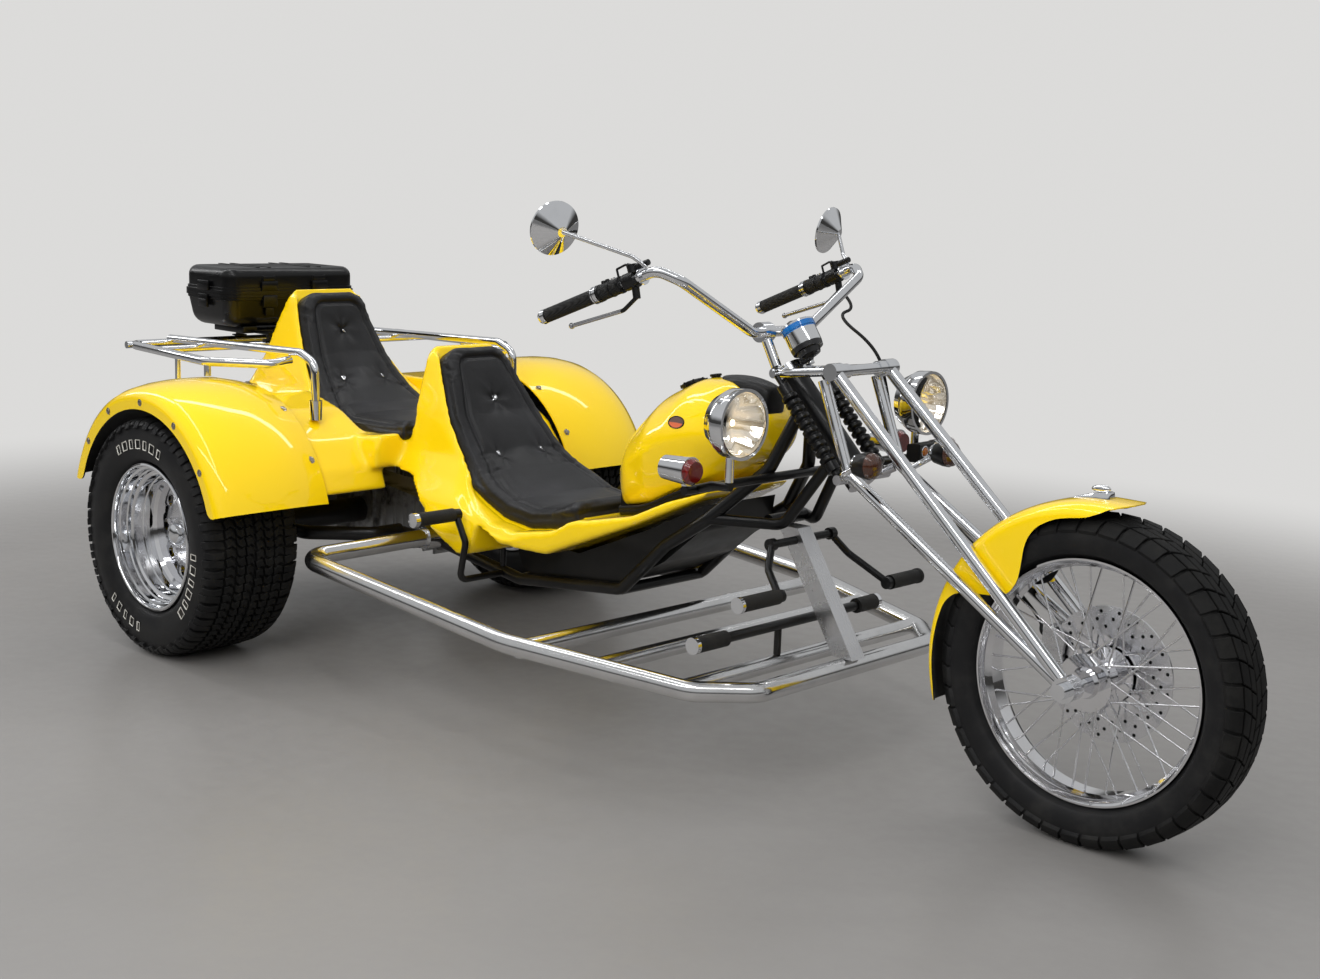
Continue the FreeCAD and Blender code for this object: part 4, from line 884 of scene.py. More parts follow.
def upholster(node):
    """Seat pad: swelled under its cover, then sewn with a rolled edge and buttons."""
    line, table, buttons = SEATS[node].values()
    obj = moulded(node, "leather", 6.5, 3, node + "_pad")
    round_corners(obj.data, line, table)
    swell(obj, line, 4.0, 9.0)
    fine = obj.modifiers.new("Fine", "SUBSURF")
    fine.levels = fine.render_levels = 1
    bake(obj)
    sew(obj.data, node)
    tuft_buttons(node, obj, buttons)


def tuft_buttons(node, pad, spots):
    """Bright domed buttons that hold the cover down."""
    bm = bmesh.new()
    for x, y, z in spots:
        _, spot, normal, _ = pad.closest_point_on_mesh(at(x, y, z))
        turn_about([(-4, 0.01), (-4, 6), (0.5, 8.5), (2.2, 8.5), (3.2, 7), (2.6, 5.4), (3.4, 3), (3.7, 0.01)],
                   spot + normal * 0.001, normal, 20, bm)
    piece(bm, node + "_buttons", "chassis", "chrome", slot="chrome")


def tub():
    """Moulded tub, with its rim let down beside the front seat's base."""
    obj = moulded("body_shell", "yellow", 7.0, 14)
    back, front, inside = 640, 1150, 196
    for v in obj.data.vertices:
        x, y, z = mm(v.co)
        if back < x < front and abs(y) > inside:
            _, up, _ = seat_place(SEATS["seat_front"]["line"], x, z)
            beside = min((x - back) / 90, (front - x) / 60, (abs(y) - inside) / 12, 1.0)
            if up > -46:
                v.co.z -= 0.020 * beside * min((up + 46) / 30, 1.0)
    obj.data.update()


# ---- body panels -----------------------------------------------------------------------
def along_table(table, x):
    """Values of a table at x, by straight lines between its rows."""
    if x <= table[0][0]:
        return table[0][1:]
    for one, two in zip(table, table[1:]):
        if x <= two[0]:
            t = (x - one[0]) / (two[0] - one[0])
            return [p + (q - p) * t for p, q in zip(one[1:], two[1:])]
    return table[-1][1:]


def rear_fender(word, side):
    """Broad rear arch turned about the axle, with a flat outer band, a crease and a rolled edge."""
    outer = [(801.5, 352), (801.7, 358), (802.0, 366), (802.2, 375), (802.4, 384), (792, 400), (768, 411.5),
             (720, 422), (670, 427), (610, 428), (560, 427), (500, 416), (455.3, 404)]
    inner = [(455.3, 399), (500, 411), (560, 422), (610, 423), (670, 422), (720, 417), (766, 406.5), (788, 396),
             (797.8, 382), (797.6, 374), (797.3, 366), (797.0, 358), (796.8, 352)]
    centre = at(0, 0, 345)
    bm = bmesh.new()
    start, end = math.radians(16), math.radians(163)
    ring = [bm.verts.new(round_axle(centre, start, r, side * y)) for y, r in outer + inner]
    edges = [bm.edges.new(pair) for pair in zip(ring, ring[1:] + ring[:1])]
    made = bmesh.ops.spin(bm, geom=ring + edges, cent=centre, axis=(0, -1, 0), angle=end - start, steps=96,
                          use_merge=False, use_duplicate=False)
    last = [e for e in made["geom_last"] if isinstance(e, bmesh.types.BMEdge)]
    for loop in (edges, last):
        bmesh.ops.triangle_fill(bm, edges=loop, use_beauty=True)
    lip, corner, flank = 0.352, 0.026, 0.79
    for v in bm.verts:
        x, y, z = v.co - centre
        radius, angle = math.hypot(x, z), math.atan2(z, x) % math.tau
        up = radius - lip
        for edge, sign in ((start, 1), (end, -1)):
            run = (angle - edge) * sign * radius
            away = math.hypot(corner - run, corner - up)
            if run < corner and up < corner and away > corner and abs(y) > flank:
                run, up = corner - (corner - run) * corner / away, corner - (corner - up) * corner / away
                angle = edge + sign * run / (lip + up)
                v.co.x, v.co.z = centre.x + (lip + up) * math.cos(angle), centre.z + (lip + up) * math.sin(angle)
    bmesh.ops.recalc_face_normals(bm, faces=bm.faces)
    for face in bm.faces:
        out = face.calc_center_median() - centre
        face.material_index = 1 if face.normal.x * out.x + face.normal.z * out.z < -0.05 else 0
    obj = piece(bm, f"rear_fender_{word}_arch", "chassis", "yellow", "belly", sharp=42, slot="yellow_paint")
    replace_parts(obj, "rear_fender_" + word)
    bm = bmesh.new()
    for degrees in (36, 62, 90, 118, 142):
        turn_about([(-2, 0.01), (-2, 10), (0.8, 10), (1.1, 7), (2.9, 6.6), (3.4, 4.6), (3.4, 0.01)],
                   round_axle(centre, math.radians(degrees), 372, side * 802.3), (0, side, 0), 12, bm)
    for degrees in (34, 60, 86, 112):
        out = spoke(degrees)
        spot = centre + Vector((0, side * 480, 0)) / 1000 + out * 0.4105
        turn_about([(-2, 0.01), (-2, 11), (0.8, 11), (1.1, 7.5), (4.2, 7), (4.8, 5), (4.8, 0.01)], spot, out, 12, bm)
    piece(bm, f"rear_fender_{word}_bolts", "chassis", "bolt")


# half length of the front fender's section from the crown to its edge, by degrees round the axle from dead ahead
SKIRT = [(80, 20), (81, 40), (83, 60), (86, 80), (89, 94), (93, 100), (103, 103), (111, 114), (117, 137), (122, 174),
         (128, 204), (136, 214), (143, 200), (149, 164), (155, 116), (161, 98), (176, 94), (194, 92), (198, 86)]
# section of the front fender: distance from the middle plane and radius about the axle
SECTION = [(0, 387), (20, 386.8), (38, 385.6), (54, 383), (66, 379), (75, 373), (81, 366), (83.5, 358), (84.4, 340),
           (84.4, 230)]
FENDER_FROM, FENDER_TO = SKIRT[0][0], SKIRT[-1][0]


def section_point(reach):
    """Point of the front fender's section at a length from its crown."""
    for one, two in zip(SECTION, SECTION[1:]):
        step = math.dist(one, two)
        if reach <= step:
            t = reach / step
            return one[0] + (two[0] - one[0]) * t, one[1] + (two[1] - one[1]) * t
        reach -= step
    return SECTION[-1]


def skirt(degrees):
    """Length of the section at one place round the wheel, with its corners eased."""
    spread = [-2.4, -1.2, 0, 1.2, 2.4] if degrees > 88 else [0]
    return sum(along_table(SKIRT, min(degrees + d, FENDER_TO))[0] for d in spread) / len(spread)


HALF_CIRCLE = [(math.cos(t), math.sin(t)) for t in (math.radians(k * 22.5) for k in range(9))]


def front_fender():
    """Narrow fender, round in section, with a lobe each side for the fork and a visor lip."""
    centre = at(*FRONT)
    bm = bmesh.new()
    bmesh.ops.create_grid(bm, x_segments=220, y_segments=44, size=1.0)
    for v in bm.verts:
        degrees = FENDER_FROM + (v.co.x + 1) / 2 * (FENDER_TO - FENDER_FROM)
        y, r = section_point(abs(v.co.y) * skirt(degrees))
        r += 5.0 * max(1 - (degrees - FENDER_FROM) / 9, 0) ** 2
        v.co = round_axle(centre, math.radians(degrees), r, math.copysign(y, v.co.y))
    bmesh.ops.recalc_face_normals(bm, faces=bm.faces)
    top = max(bm.faces, key=lambda f: f.calc_center_median().z)
    if top.normal.z < 0:
        bmesh.ops.reverse_faces(bm, faces=bm.faces)
    bmesh.ops.solidify(bm, geom=bm.faces[:], thickness=0.003)
    for face in bm.faces:
        out = face.calc_center_median() - centre
        along = face.normal.x * out.x + face.normal.z * out.z + face.normal.y * out.y * 2
        face.material_index = 1 if along < -0.02 else 0
    obj = piece(bm, "front_fender_panel", "steering", "yellow", "belly", sharp=50, recalc=False, slot="yellow_paint")
    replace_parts(obj, "front_fender")
    bm = bmesh.new()
    for side in (-1, 1):
        turn_about([(0, 0.01), (0, 9), (5, 9), (6.6, 7), (6.6, 0.01)], at(2225, side * 84.5, 602), (0, side, 0), 12, bm)
    for degrees in (150, 172, 188):
        out = spoke(degrees)
        turn_about([(-1, 0.01), (-1, 6), (1.4, 5), (2.2, 0.01)], centre + out * 0.387, out, 12, bm)
    piece(bm, "front_fender_bolts", "steering", "bolt")
    bm = bmesh.new()
    rings = []
    for degrees, wide, rise in ((103, 3, 1), (101.5, 7, 3.5), (98, 11, 7), (94, 14, 11), (90.5, 16, 14.5),
                                (89.6, 14, 14), (89.3, 10, 11)):
        out = spoke(degrees)
        foot = centre + out * 0.3864
        rings.append([foot + Vector((0, wide * c / 1000, 0)) + out * (rise * min(1.5 * u, 1.0) / 1000)
                      for c, u in HALF_CIRCLE])
    loft(bm, rings)
    turn_about([(-24, 0.01), (-22, 3.4), (-15, 6.6), (-5, 8.4), (6, 8.4), (12, 7.4), (17, 5.2), (20, 2.4), (21, 0.01)],
               centre + spoke(93) * 0.4055, spoke(93 - 90), 24, bm)
    piece(bm, "front_fender_ornament", "steering", "chrome", sharp=50)


def case_shell(low, high, split, up):
    """Half of the case: rounded moulding with a stepped flange at the split, hollow inside."""
    bm = bmesh.new()
    box(bm, low, high)
    round_off(bm, [e for e in bm.edges if abs(e.verts[0].co.z - e.verts[1].co.z) > 0.01], 0.042, 7)
    end = max if up else min
    level = end(v.co.z for v in bm.verts)
    rim = [e for e in bm.edges if all(abs(v.co.z - level) < 1e-5 for v in e.verts)]
    round_off(bm, rim, 0.030 if up else 0.036, 6)
    sign = 1 if up else -1
    cut_at(bm, [(0, 0, split + sign * step) for step in (0.010, 0.0115, 0.019, 0.0205)], (0, 0, 1))
    middle = (low + high) / 2
    mouth = low.z if up else high.z
    bmesh.ops.delete(bm, geom=[f for f in bm.faces if all(abs(v.co.z - mouth) < 1e-5 for v in f.verts)],
                     context="FACES")
    for v in bm.verts:
        height = (v.co.z - split) * sign
        out = Vector((v.co.x - middle.x, v.co.y - middle.y, 0))
        flat = Vector((v.normal.x, v.normal.y, 0))
        if height < 0.0105:
            v.co += flat.normalized() * 0.0085
        elif height < 0.0195:
            v.co += flat.normalized() * 0.004
        elif not up:
            pull = min((height - 0.02) / 0.09, 1.0) * 0.014
            v.co -= Vector([math.copysign(min(pull, abs(c)), c) for c in out])
    bmesh.ops.recalc_face_normals(bm, faces=bm.faces)
    bmesh.ops.solidify(bm, geom=bm.faces[:], thickness=0.004)
    return bm


def luggage_case():
    """Lidded case with straps, buckles and side catches."""
    low, high = at(-711, -241, 862), at(-449, 241, 1050)
    split = 0.968
    lid = case_shell(Vector((low.x, low.y, split + 0.0003)), high, split, True)
    base = case_shell(low, Vector((high.x, high.y, split - 0.0003)), split, False)
    for y in (-150, 150):
        block(base, at(-640, y - 26, 842), at(-470, y + 26, 864), 3)
    block(base, at(-640, -150, 842), at(-470, 150, 852), 3)
    for x, z in ((-580, 825.3), (-404, 823.3)):
        for y in (-120, 120):
            bar(base, at(x, y, z), at(x, y, 846), 12, sides=14)
            block(base, at(x - 16, y - 18, z), at(x + 16, y + 18, z + 5), 1.5)
    for y in (-120, 120):
        block(base, at(-480, y - 14, 842), at(-392, y + 14, 850), 2)
    for side in (-1, 1):
        bar(base, at(-728, side * 150, 968), at(-728, side * 170, 968), 7)
        bar(base, at(-728, side * 150, 968), at(-728, side * 200, 968), 3)
        block(base, at(-728, side * 160 - 10, 950), at(-712, side * 160 + 10, 966), 1)
        bar(lid, at(-728, side * 170.4, 968), at(-728, side * 195, 968), 7)
        block(lid, at(-728, side * 182.5 - 12, 970), at(-712, side * 182.5 + 12, 986), 1)
    for y in (-95, 95):
        for half in (-21, 21):
            block(lid, at(-700, y + half - 6, 1049.5), at(-474, y + half + 6, 1051.8), 0.8)
            block(lid, at(-456, y + half - 6, 985), at(-447.5, y + half + 6, 1026), 1.5)
        block(lid, at(-452, y - 30, 978), at(-438, y + 30, 1008), 3)
        block(lid, at(-448, y - 22, 1008), at(-444, y + 22, 1024), 1.5)
        block(base, at(-446, y - 26, 925), at(-436, y + 26, 964), 3)
        block(base, at(-450, y - 15, 898), at(-441, y + 15, 925), 2)
    for side in (-1, 1):
        block(lid, at(-612, side * 251 - 4, 975), at(-548, side * 251 + 4, 1006), 3)
        block(base, at(-606, side * 251 - 5, 922), at(-554, side * 251 + 5, 964), 3)
        bar(base, at(-598, side * 252, 944), at(-562, side * 252, 944), 5)
    for bm, node, body in ((lid, "case_lid", "lid_body"), (base, "case_base", "chassis")):
        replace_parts(piece(bm, node + "_shell", body, "case", sharp=38, slot=SLOT_OF[node]), node)


# tank: x, lower edge, crown and half width; and the top of the tub's nose below it, by x
TANK = [(1136, 548, 610, 46), (1152, 542, 680, 96), (1200, 545, 758, 136), (1290, 568, 838, 166),
        (1390, 614, 884, 178), (1480, 660, 884, 168), (1560, 690, 852, 132), (1600, 716, 806, 74)]
NOSE = [(1060, 490), (1160, 506), (1300, 536), (1400, 586), (1520, 628), (1700, 690)]


def fuel_tank():
    """Tank with a full lower edge that beds on a rubber bead along the nose of the tub."""
    tank = moulded("fuel_tank", "yellow", 5.0, 90)
    for v in tank.data.vertices:
        x, _, z = mm(v.co)
        low, high, _ = along_table(TANK, x)
        middle = low + (high - low) * 0.42
        if z < middle:
            t = min((middle - z) / (middle - low), 0.985)
            share = 1 - min(max((x - 1430) / 120, 0), 1)
            bed = low + (along_table(NOSE, x)[0] + 15 - low) * share
            v.co.z = (middle - (middle - z) / (middle - low) * (middle - bed)) / 1000
            v.co.y *= 1 + share * (min((1 - t ** 4) ** 0.25 / math.sqrt(1 - t * t), 1.7) - 1) * 0.75
    tank.data.update()
    for rise, out, radius, word in ((9, 0, 8.5, "lower"), (18, 4, 6, "upper")):
        half = [(1136, 0), (1139, 52), (1160, 92), (1215, 118), (1300, 134), (1400, 140), (1470, 128), (1500, 112)]
        line = [(x, -(y + out)) for x, y in half[::-1]] + [(x, y + out) for x, y in half[1:]]
        hose("tank_bead_" + word, [(x - (out if x < 1150 else 0), y, along_table(NOSE, x)[0] + rise) for x, y in line],
             radius, "chassis", "rubber")


def bar_switches():
    """Clamp rings, switch buttons, a choke loop and a passing switch on each end of the bar."""
    dark, bright = bmesh.new(), bmesh.new()
    rise = Vector((-0.36, 0, 0.93)).normalized()
    for side in (-1, 1):
        root, end = at(1528, side * 368, 1160), at(1200, side * 398, 1034)
        along = (end - root).normalized()
        flank = along.cross(rise).normalized()

        def on(run, up=0.0, off=0.0):
            return root + (along * run + rise * up + flank * off) / 1000

        for start, stop, radius in ((177.4, 182, 21), (183, 188, 20), (189, 193, 21), (40, 44, 20.6)):
            bar(bright, on(start), on(stop), radius, sides=32)
        for start, stop in ((106.5, 113), (136, 138.5), (170, 176)):
            bar(dark, on(start), on(stop), 20.4, sides=32)
        for run, off in ((120, 6), (120, -6), (128, 6), (128, -6)):
            bar(bright, on(run, 17, off), on(run, 21.5, off * 1.1), 2.6, sides=12)
        for run in (147, 160):
            bar(dark, on(run, 15), on(run, 25), 6.5, tip=5, sides=20)
        path = [on(112, 17), on(112, 38), on(84, 40), on(74, 34)]
        for one, two in zip(path, path[1:]):
            bar(dark, one, two, 2.8, sides=12)
        bar(dark, on(78, 36), on(68, 32), 6, tip=5, sides=16)
        bar(dark, on(58, 25), on(16, 25), 8, tip=7, sides=20)
        bar(bright, on(61, 18), on(61, 34), 7, sides=6)
    piece(dark, "bar_switches", "steering", "plastic", sharp=40)
    piece(bright, "bar_switch_rings", "steering", "chrome", sharp=40)


def lamp_box_covers():
    """Rings round the amber lamps, and a clear and a smoked cover over the side of the lamp box."""
    rings, clear, smoked, bulbs = bmesh.new(), bmesh.new(), bmesh.new(), bmesh.new()
    for y in (280, 312):
        turn_about([(0.3, 11.5), (0.3, 14.6), (2.4, 14.6), (3.6, 13), (2.8, 11.5)], at(1836, y, 728), AHEAD, 28,
                   rings, closed=True)
        turn_about([(0.2, 0.01), (0.2, 3), (1.6, 3), (2, 0.01)], at(1836, y + 9, 712), AHEAD, 10, rings)
    for bm, low, high in ((clear, 338, 376), (smoked, 380, 416)):
        rows = [(1806, 746.6), (1826, 749.4), (1843.6, 724), (1831, 698.4)]
        ends = [[bm.verts.new(at(x, y, z)) for x, z in rows] for y in (low, high)]
        for k in range(len(rows) - 1):
            bm.faces.new((ends[0][k], ends[0][k + 1], ends[1][k + 1], ends[1][k]))
        round_off(bm, [e for e in bm.edges if len(e.link_faces) == 2], 0.006, 5)
        bmesh.ops.recalc_face_normals(bm, faces=bm.faces)
        if sum(f.normal.x for f in bm.faces) < 0:
            bmesh.ops.reverse_faces(bm, faces=bm.faces)
        bmesh.ops.solidify(bm, geom=bm.faces[:], thickness=-0.0014)
    lean = Vector((25.4, 0, 17.6)).normalized()
    for y, key in ((364, 0), (392, 1), (406, 1)):
        turn_about([(0, 0.01), (0, 5.5), (0.5, 5.2), (0.9, 3.2), (1.0, 0.01)], at(1834, y, 736), lean, 16, bulbs,
                   slot=key)
    piece(rings, "lamp_box_rings", "chassis", "chrome", sharp=30)
    piece(clear, "lamp_box_clear_cover", "chassis", "glass", sharp=40, recalc=False)
    piece(smoked, "lamp_box_smoked_cover", "chassis", "smoke", sharp=40, recalc=False)
    piece(bulbs, "lamp_box_bulbs", "chassis", "amber", "red", sharp=30)


def headlight_insides():
    """Faceted bright reflectors with a painted warm glow, and lit bulbs."""
    bm, bulbs = bmesh.new(), bmesh.new()
    for side in (-1, 1):
        centre = at(LAMP[0], side * LAMP_Y, LAMP[2])
        rows = [(17.4 + 56 * (k / 9) ** 2 * 0.98, 12.5 + 58.5 * k / 9) for k in range(10)]
        turn_about([(a + 1.2, r - 0.6) for a, r in rows], centre, AHEAD, 26, bm)
        turn_about([(16, 0.01), (16, 11), (34, 11), (37, 9), (37, 0.01)], centre, AHEAD, 16, bulbs, slot=1)
        turn_about([(36, 0.01), (36, 7), (46, 8.5), (54, 6), (57, 0.01)], centre, AHEAD, 16, bulbs)
    piece(bm, "headlight_reflectors", "chassis", "reflector", sharp=8)
    piece(bulbs, "headlight_bulbs", "chassis", "bulb", "chrome")


def tank_fittings():
    """Padded cover from tank to head tube, filler cap and vent."""
    bm = bmesh.new()
    rings = []
    for x, wide, top, low in ((1420, 10, 889, 878), (1432, 24, 893, 872), (1460, 38, 897, 860), (1500, 46, 898, 850),
                              (1545, 46, 893, 826), (1580, 42, 884, 800), (1594, 34, 874, 790)):
        rings.append([at(x, wide * math.copysign(abs(c) ** 0.6, c), low + (top - low) * max(u, 0.0) ** 0.7)
                      for c, u in HALF_CIRCLE])
    loft(bm, rings)
    cover = piece(bm, "tank_top_cover", "chassis", "vinyl", sharp=60)
    smooth = cover.modifiers.new("Round", "SUBSURF")
    smooth.levels = smooth.render_levels = 2
    bake(cover)
    cover.data.shade_smooth()
    bm = bmesh.new()
    tank = bpy.data.objects["fuel_tank_moulding"]
    above = 1200
    for x, rows in ((1322, [(-8, 0.01), (-8, 31), (3, 31), (4, 34), (10, 34), (12.5, 31), (13, 0.01)]),
                    (1392, [(-10, 0.01), (-10, 12), (3, 12), (4, 15), (8, 15), (9.5, 13), (10, 0.01)])):
        _, spot, normal, _ = tank.ray_cast(at(x, 0, above), Vector((0, 0, -1)))
        turn_about(rows, spot, normal, 28, bm)
        if x == 1322:
            grips = 8
            for k in range(grips):
                side = Matrix.Rotation(k * math.tau / grips, 3, normal) @ normal.orthogonal().normalized() * 0.034
                bar(bm, spot + normal * 0.004 + side, spot + normal * 0.0125 + side, 2.4, sides=8)
    piece(bm, "tank_caps", "chassis", "plastic", sharp=30)
    for word, side in (("right", -1), ("left", 1)):
        tank_badge(tank, word, side)


def tank_badge(tank, word, side):
    """Oval badge with a plain two-tone field, laid on the tank's flank."""
    bm = bmesh.new()
    _, spot, normal, _ = tank.closest_point_on_mesh(at(1413, side * 163, 784))
    turn_about([(-3, 0.01), (-3, 26), (0.8, 26), (2.0, 24.6), (1.7, 23), (1.0, 22), (1.2, 0.01)], Vector(), (0, 0, 1),
               40, bm)
    for f in bm.faces:
        middle = f.calc_center_median()
        f.material_index = 1 if middle.length < 0.0222 and middle.z > 0 else 0
    for v in bm.verts:
        v.co.x *= 0.62
    level = (Vector(AHEAD) - normal * normal.x).normalized()
    turn = Matrix((level.cross(normal), level, normal)).transposed()
    if turn.determinant() < 0:
        turn = Matrix((normal.cross(level), level, normal)).transposed()
    bmesh.ops.rotate(bm, verts=bm.verts, cent=(0, 0, 0), matrix=turn)
    bmesh.ops.translate(bm, verts=bm.verts, vec=spot)
    piece(bm, "tank_badge_" + word, "chassis", "plastic", "badge", sharp=25)


# ---- stage -----------------------------------------------------------------------------
def lay_floor(scene):
    """Plain floor that fades into the backdrop's colour far from the trike."""
    bm = bmesh.new()
    bmesh.ops.create_grid(bm, x_segments=1, y_segments=1, size=40.0)
    mesh = bpy.data.meshes.new("floor")
    bm.to_mesh(mesh)
    bm.free()
    floor = bpy.data.objects.new("floor", mesh)
    scene.collection.objects.link(floor)
    f = Finish("Studio floor")
    tone = tuple(scene.trike_paint.floor_colour) + (1.0,)
    cloud = f.noise(1.1, 6, rough=0.6).ramp(0.3, 0.7)
    f.set(Base_Color=f.mix(cloud, tone, darker(tone, 0.93)),
          Roughness=cloud * 0.08 + f.noise(22, 5).ramp(0.3, 0.7) * 0.08 + 0.3)
    f.bump(f.noise(40, 4), 0.0003, 0.12)
    x, y, _ = f.split(f.where())
    far = (x * x * 0.8 + y * y).root().ramp(2.3, 4.6)
    f.blend_shader(f.node("Emission", {}, {"Color": BACKDROP}), far * f.node("LightPath"))
    mesh.materials.append(f.material)


def hang_backdrop(scene):
    """Even backdrop for the camera, and a bright upper and dark lower room for the reflections."""
    scene.world = bpy.data.worlds.new("studio")
    scene.world.use_nodes = True
    room = Nodes(scene.world.node_tree)
    room.tree.nodes.clear()
    height = room.split(room.node("TexCoord", out="Generated"))[2] * 0.5 + 0.5
    dark, bright = (0.07, 0.068, 0.065, 1), (0.80, 0.81, 0.82, 1)
    sky = room.node("ValToRGB", {"stops": [(0.55, dark), (0.64, bright)]}, {0: height})
    light = room.node("Background", {}, {"Color": sky, "Strength": 0.6})
    seen = room.node("Background", {}, {"Color": BACKDROP, "Strength": 1.0})
    both = room.node("MixShader", {}, {0: room.node("LightPath", out="Is Camera Ray"), 1: light, 2: seen})
    room.node("OutputWorld", {}, {"Surface": both})


# area lamps: name, place, aim, size, watts, and whether they show in reflections
LAMPS = [("key", (2.4, -5.2, 3.7), (0.2, 0, 0.4), (3.4, 3.4), 200, False),
         ("fill", (-4.0, -3.6, 3.0), (-0.6, 0, 0.5), (3.0, 3.0), 55, False),
         ("top", (-0.5, 1.0, 5.6), (0, 0, 0.3), (4.5, 4.5), 48, False),
         ("rim", (1.5, 5.0, 3.4), (0.2, 0, 0.5), (3.0, 3.0), 60, False),
         ("strip_near", (1.8, -2.6, 4.2), (0.6, -0.6, 0.3), (5.5, 0.28), 34, True),
         ("strip_mid", (-0.4, -1.4, 4.4), (0, -0.2, 0.3), (5.5, 0.28), 30, True),
         ("strip_far", (-1.6, 1.8, 4.4), (0, 0.4, 0.3), (5.5, 0.28), 30, True),
         ("strip_back", (-4.2, -1.2, 3.2), (-1.0, -0.4, 0.5), (0.3, 3.5), 24, True)]


def hang_lamps(scene):
    for name, spot, aim, size, power, shown in LAMPS:
        data = bpy.data.lights.new(name, "AREA")
        data.shape = "RECTANGLE"
        data.size, data.size_y = size
        data.energy = power
        lamp = bpy.data.objects.new(name, data)
        scene.collection.objects.link(lamp)
        lamp.location = spot
        lamp.rotation_euler = (Vector(aim) - Vector(spot)).to_track_quat("-Z", "Y").to_euler()
        lamp.visible_glossy = shown


def place_camera(scene):
    """Camera in front and to the right, at chest height, tilted a little."""
    data = bpy.data.cameras.new("camera")
    data.sensor_width = 36.0
    data.lens = 46.36
    data.clip_end = 100.0
    camera = bpy.data.objects.new("camera", data)
    scene.collection.objects.link(camera)
    bearing, pitch, roll = (math.radians(v) for v in (43.638, 10.135, 1.947))
    ahead = Vector((-math.sin(bearing) * math.cos(pitch), math.cos(bearing) * math.cos(pitch), -math.sin(pitch)))
    right = ahead.cross(Vector((0, 0, 1))).normalized()
    up = right.cross(ahead)
    right, up = right * math.cos(roll) + up * math.sin(roll), up * math.cos(roll) - right * math.sin(roll)
    turn = Matrix((right, up, -ahead)).transposed().to_4x4()
    camera.matrix_world = Matrix.Translation(at(4217, -3152, 1349)) @ turn
    scene.camera = camera
    scene.view_settings.view_transform = "Standard"


# ---- operators -------------------------------------------------------------------------
class TRIKE_PG_paint(bpy.types.PropertyGroup):
    body_colour: bpy.props.FloatVectorProperty(
        name="Body colour", description="Colour of the gloss paint on body, tank and fenders", size=3,
        subtype="COLOR", min=0.0, max=1.0, default=(1.0, 0.68, 0.003))
    floor_colour: bpy.props.FloatVectorProperty(
        name="Floor colour", description="Colour of the plain floor", size=3, subtype="COLOR",
        min=0.0, max=1.0, default=(0.255, 0.245, 0.236))


class TRIKE_PG_sizes(bpy.types.PropertyGroup):
    tread_depth: bpy.props.FloatProperty(
        name="Tread depth", description="Depth of the rear tyres' tread", default=0.011, unit="LENGTH",
        min=0.004, max=0.016)


class TRIKE_OT_finishes(bpy.types.Operator):
    """Mix every paint, metal, rubber and glass finish"""
    bl_idname = "trike.finishes"
    bl_label = "Mix finishes"

    def execute(self, context):
        mix_finishes()
        return {"FINISHED"}


class TRIKE_OT_surfaces(bpy.types.Operator):
    """Smooth the frame, fork, lamps, rails, wheels and engine, each in its own finish"""
    bl_idname = "trike.surfaces"
    bl_label = "Metal and rubber parts"

    def execute(self, context):
        for key, names in SKINS.items():
            for name in names:
                skin(name, key, ZONES.get(name, ()))
        return {"FINISHED"}


class TRIKE_OT_hose(bpy.types.Operator):
    """Run the brake hose from the caliper up the left fork leg to its lever"""
    bl_idname = "trike.hose"
    bl_label = "Brake hose"

    def execute(self, context):
        route = [(2340.7, 80, 398), (2310, 80, 398), (2284, 138, 424), (1925, 136, 676), (1850, 134, 760),
                 (1822, 128, 900), (1790, 126, 985), (1640, 150, 1052), (1600, 290, 1062), (1484.5, 374, 1092)]
        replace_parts(hose("brake_hose_line", route, 4.0, "steering", "rubber", SLOT_OF["brake_hose"]), "brake_hose")
        return {"FINISHED"}


class TRIKE_OT_body(bpy.types.Operator):
    """Mould the tub and tank, shape the fenders and fit the tank's, bar's and lamp box's small parts"""
    bl_idname = "trike.body"
    bl_label = "Body"

    def execute(self, context):
        tub()
        fuel_tank()
        front_fender()
        bar_switches()
        lamp_box_covers()
        rear_fender("right", -1)
        rear_fender("left", 1)
        tank_fittings()
        return {"FINISHED"}


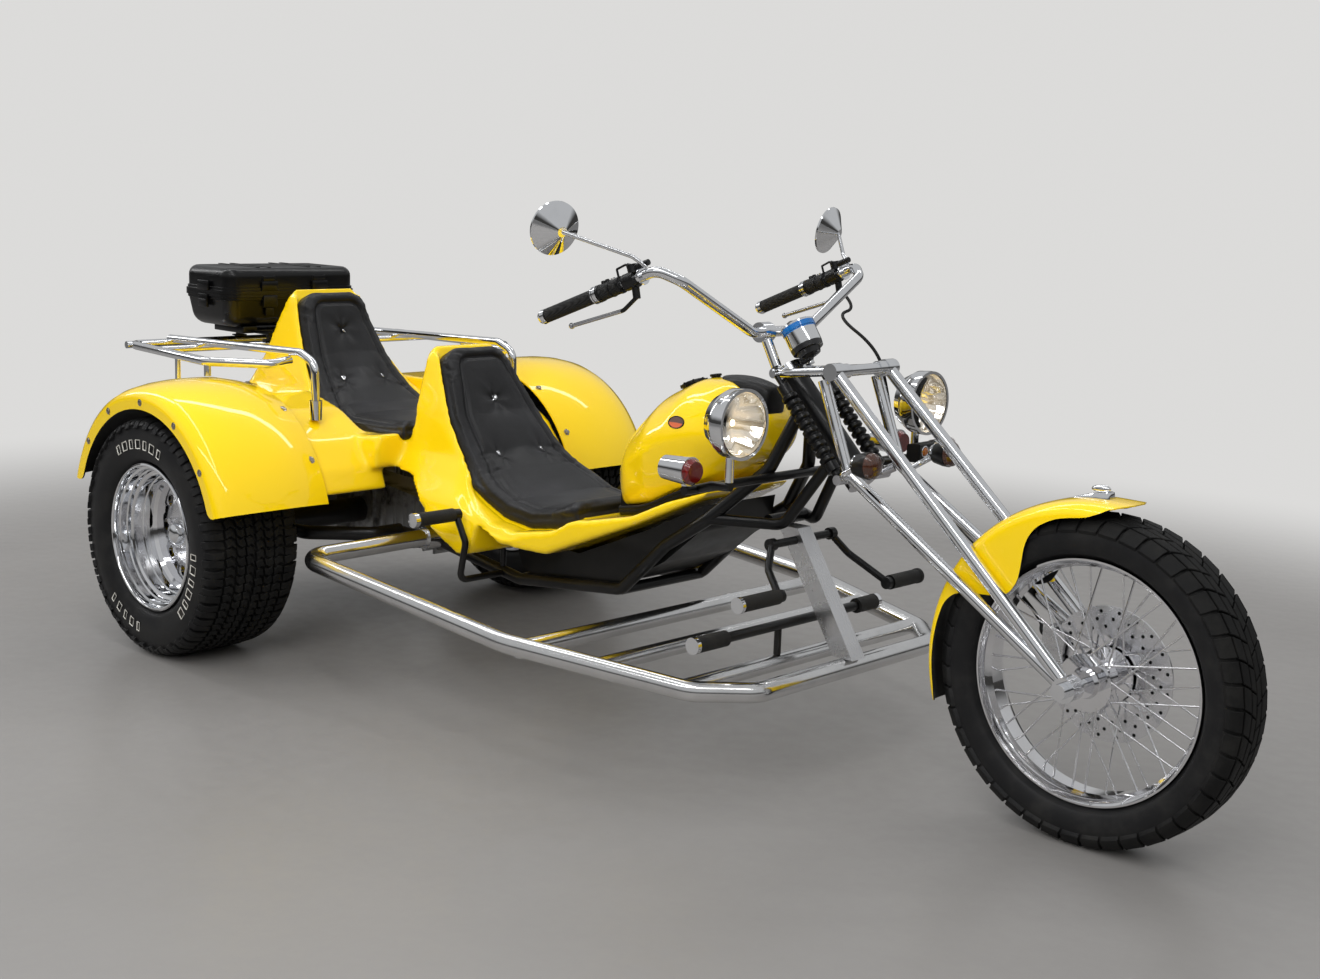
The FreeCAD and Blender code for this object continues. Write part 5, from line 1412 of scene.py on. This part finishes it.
class TRIKE_OT_tyres(bpy.types.Operator):
    """Cut the tread of the three tyres and print the side walls"""
    bl_idname = "trike.tyres"
    bl_label = "Tyres"

    def execute(self, context):
        depth = context.scene.trike_sizes.tread_depth * 1000
        for word, side in (("right", -1), ("left", 1)):
            body = f"rear_wheel_{word}_body"
            middle = at(0, side * REAR_Y, REAR_Z)
            tyre("rear_tyre_tread_" + word, body, "rear_tyre_" + word, middle, 338, 295, 207.5, 127, 132, depth,
                 both_sides(REAR_ROWS, 0.25), 40, "rear_tyre", side)
            bm = turn_about([(0, 0.01), (0, 41), (4, 41), (5.5, 39), (6, 35), (16, 33), (25, 28), (31, 19), (33.5, 9),
                             (34, 0.01)], at(0, side * 684.2, REAR_Z), (0, side, 0), 40)
            piece(bm, "rear_hub_cap_" + word, body, "chrome", sharp=25)
            bm = turn_about([(784, 206), (786, 203), (785.4, 199.6), (781, 197.4), (766, 196.4), (763.4, 190.6),
                             (747, 189), (743.6, 185), (735, 183.4), (732, 180), (731, 172.6), (706, 172), (703.6, 168),
                             (686, 167), (683.6, 171.8), (673, 172.4), (673, 176), (729, 177), (741, 196), (780, 203)],
                            at(0, 0, REAR_Z), (0, side, 0), 120, closed=True)
            piece(bm, "rear_rim_steps_" + word, body, "chrome", sharp=30)
            wall_marks("rear_tyre_marks_" + word, body, middle, side, 145.5, 262, 26,
                       [(-28, 7, 8, 24), (92, 6, 8, 24), (188, 5, 8, 20)])
        tyre("front_tyre_tread", "front_wheel_body", "front_tyre", at(*FRONT), 355, 145, 264, 50, 58, 8.5,
             both_sides(FRONT_ROWS, 0.5), 44, "front_tyre")
        return {"FINISHED"}


class TRIKE_OT_seats(bpy.types.Operator):
    """Upholster both seats"""
    bl_idname = "trike.seats"
    bl_label = "Seats"

    def execute(self, context):
        for node in SEATS:
            upholster(node)
        return {"FINISHED"}


class TRIKE_OT_case(bpy.types.Operator):
    """Mould the lidded luggage case"""
    bl_idname = "trike.case"
    bl_label = "Luggage case"

    def execute(self, context):
        luggage_case()
        return {"FINISHED"}


class TRIKE_OT_lamps(bpy.types.Operator):
    """Fit reflectors and bulbs in the headlights"""
    bl_idname = "trike.lamps"
    bl_label = "Lamps"

    def execute(self, context):
        headlight_insides()
        return {"FINISHED"}


class TRIKE_OT_stage(bpy.types.Operator):
    """Lay the floor, hang the backdrop, set the lamps and the camera"""
    bl_idname = "trike.stage"
    bl_label = "Stage"

    def execute(self, context):
        for work in (lay_floor, hang_backdrop, hang_lamps, place_camera):
            work(context.scene)
        return {"FINISHED"}


STEPS = ["finishes", "surfaces", "hose", "body", "tyres", "seats", "case", "lamps", "stage"]


class TRIKE_PT_panel(bpy.types.Panel):
    bl_idname = "TRIKE_PT_panel"
    bl_label = "Trike"
    bl_space_type = "VIEW_3D"
    bl_region_type = "UI"
    bl_category = "Trike"

    def draw(self, context):
        for group in (context.scene.trike_paint, context.scene.trike_sizes):
            for name in group.bl_rna.properties.keys():
                if name not in ("rna_type", "name"):
                    self.layout.prop(group, name)
        for step in STEPS:
            self.layout.operator("trike." + step)


CLASSES = (TRIKE_PG_paint, TRIKE_PG_sizes, TRIKE_OT_finishes, TRIKE_OT_surfaces, TRIKE_OT_hose, TRIKE_OT_body,
           TRIKE_OT_tyres, TRIKE_OT_seats, TRIKE_OT_case, TRIKE_OT_lamps, TRIKE_OT_stage, TRIKE_PT_panel)


def register():
    for made in CLASSES:
        bpy.utils.register_class(made)
    bpy.types.Scene.trike_paint = bpy.props.PointerProperty(type=TRIKE_PG_paint)
    bpy.types.Scene.trike_sizes = bpy.props.PointerProperty(type=TRIKE_PG_sizes)


def unregister():
    del bpy.types.Scene.trike_sizes
    del bpy.types.Scene.trike_paint
    for made in reversed(CLASSES):
        bpy.utils.unregister_class(made)


def main():
    register()
    for step in STEPS:
        getattr(bpy.ops.trike, step)()


if __name__ == "__main__":
    main()
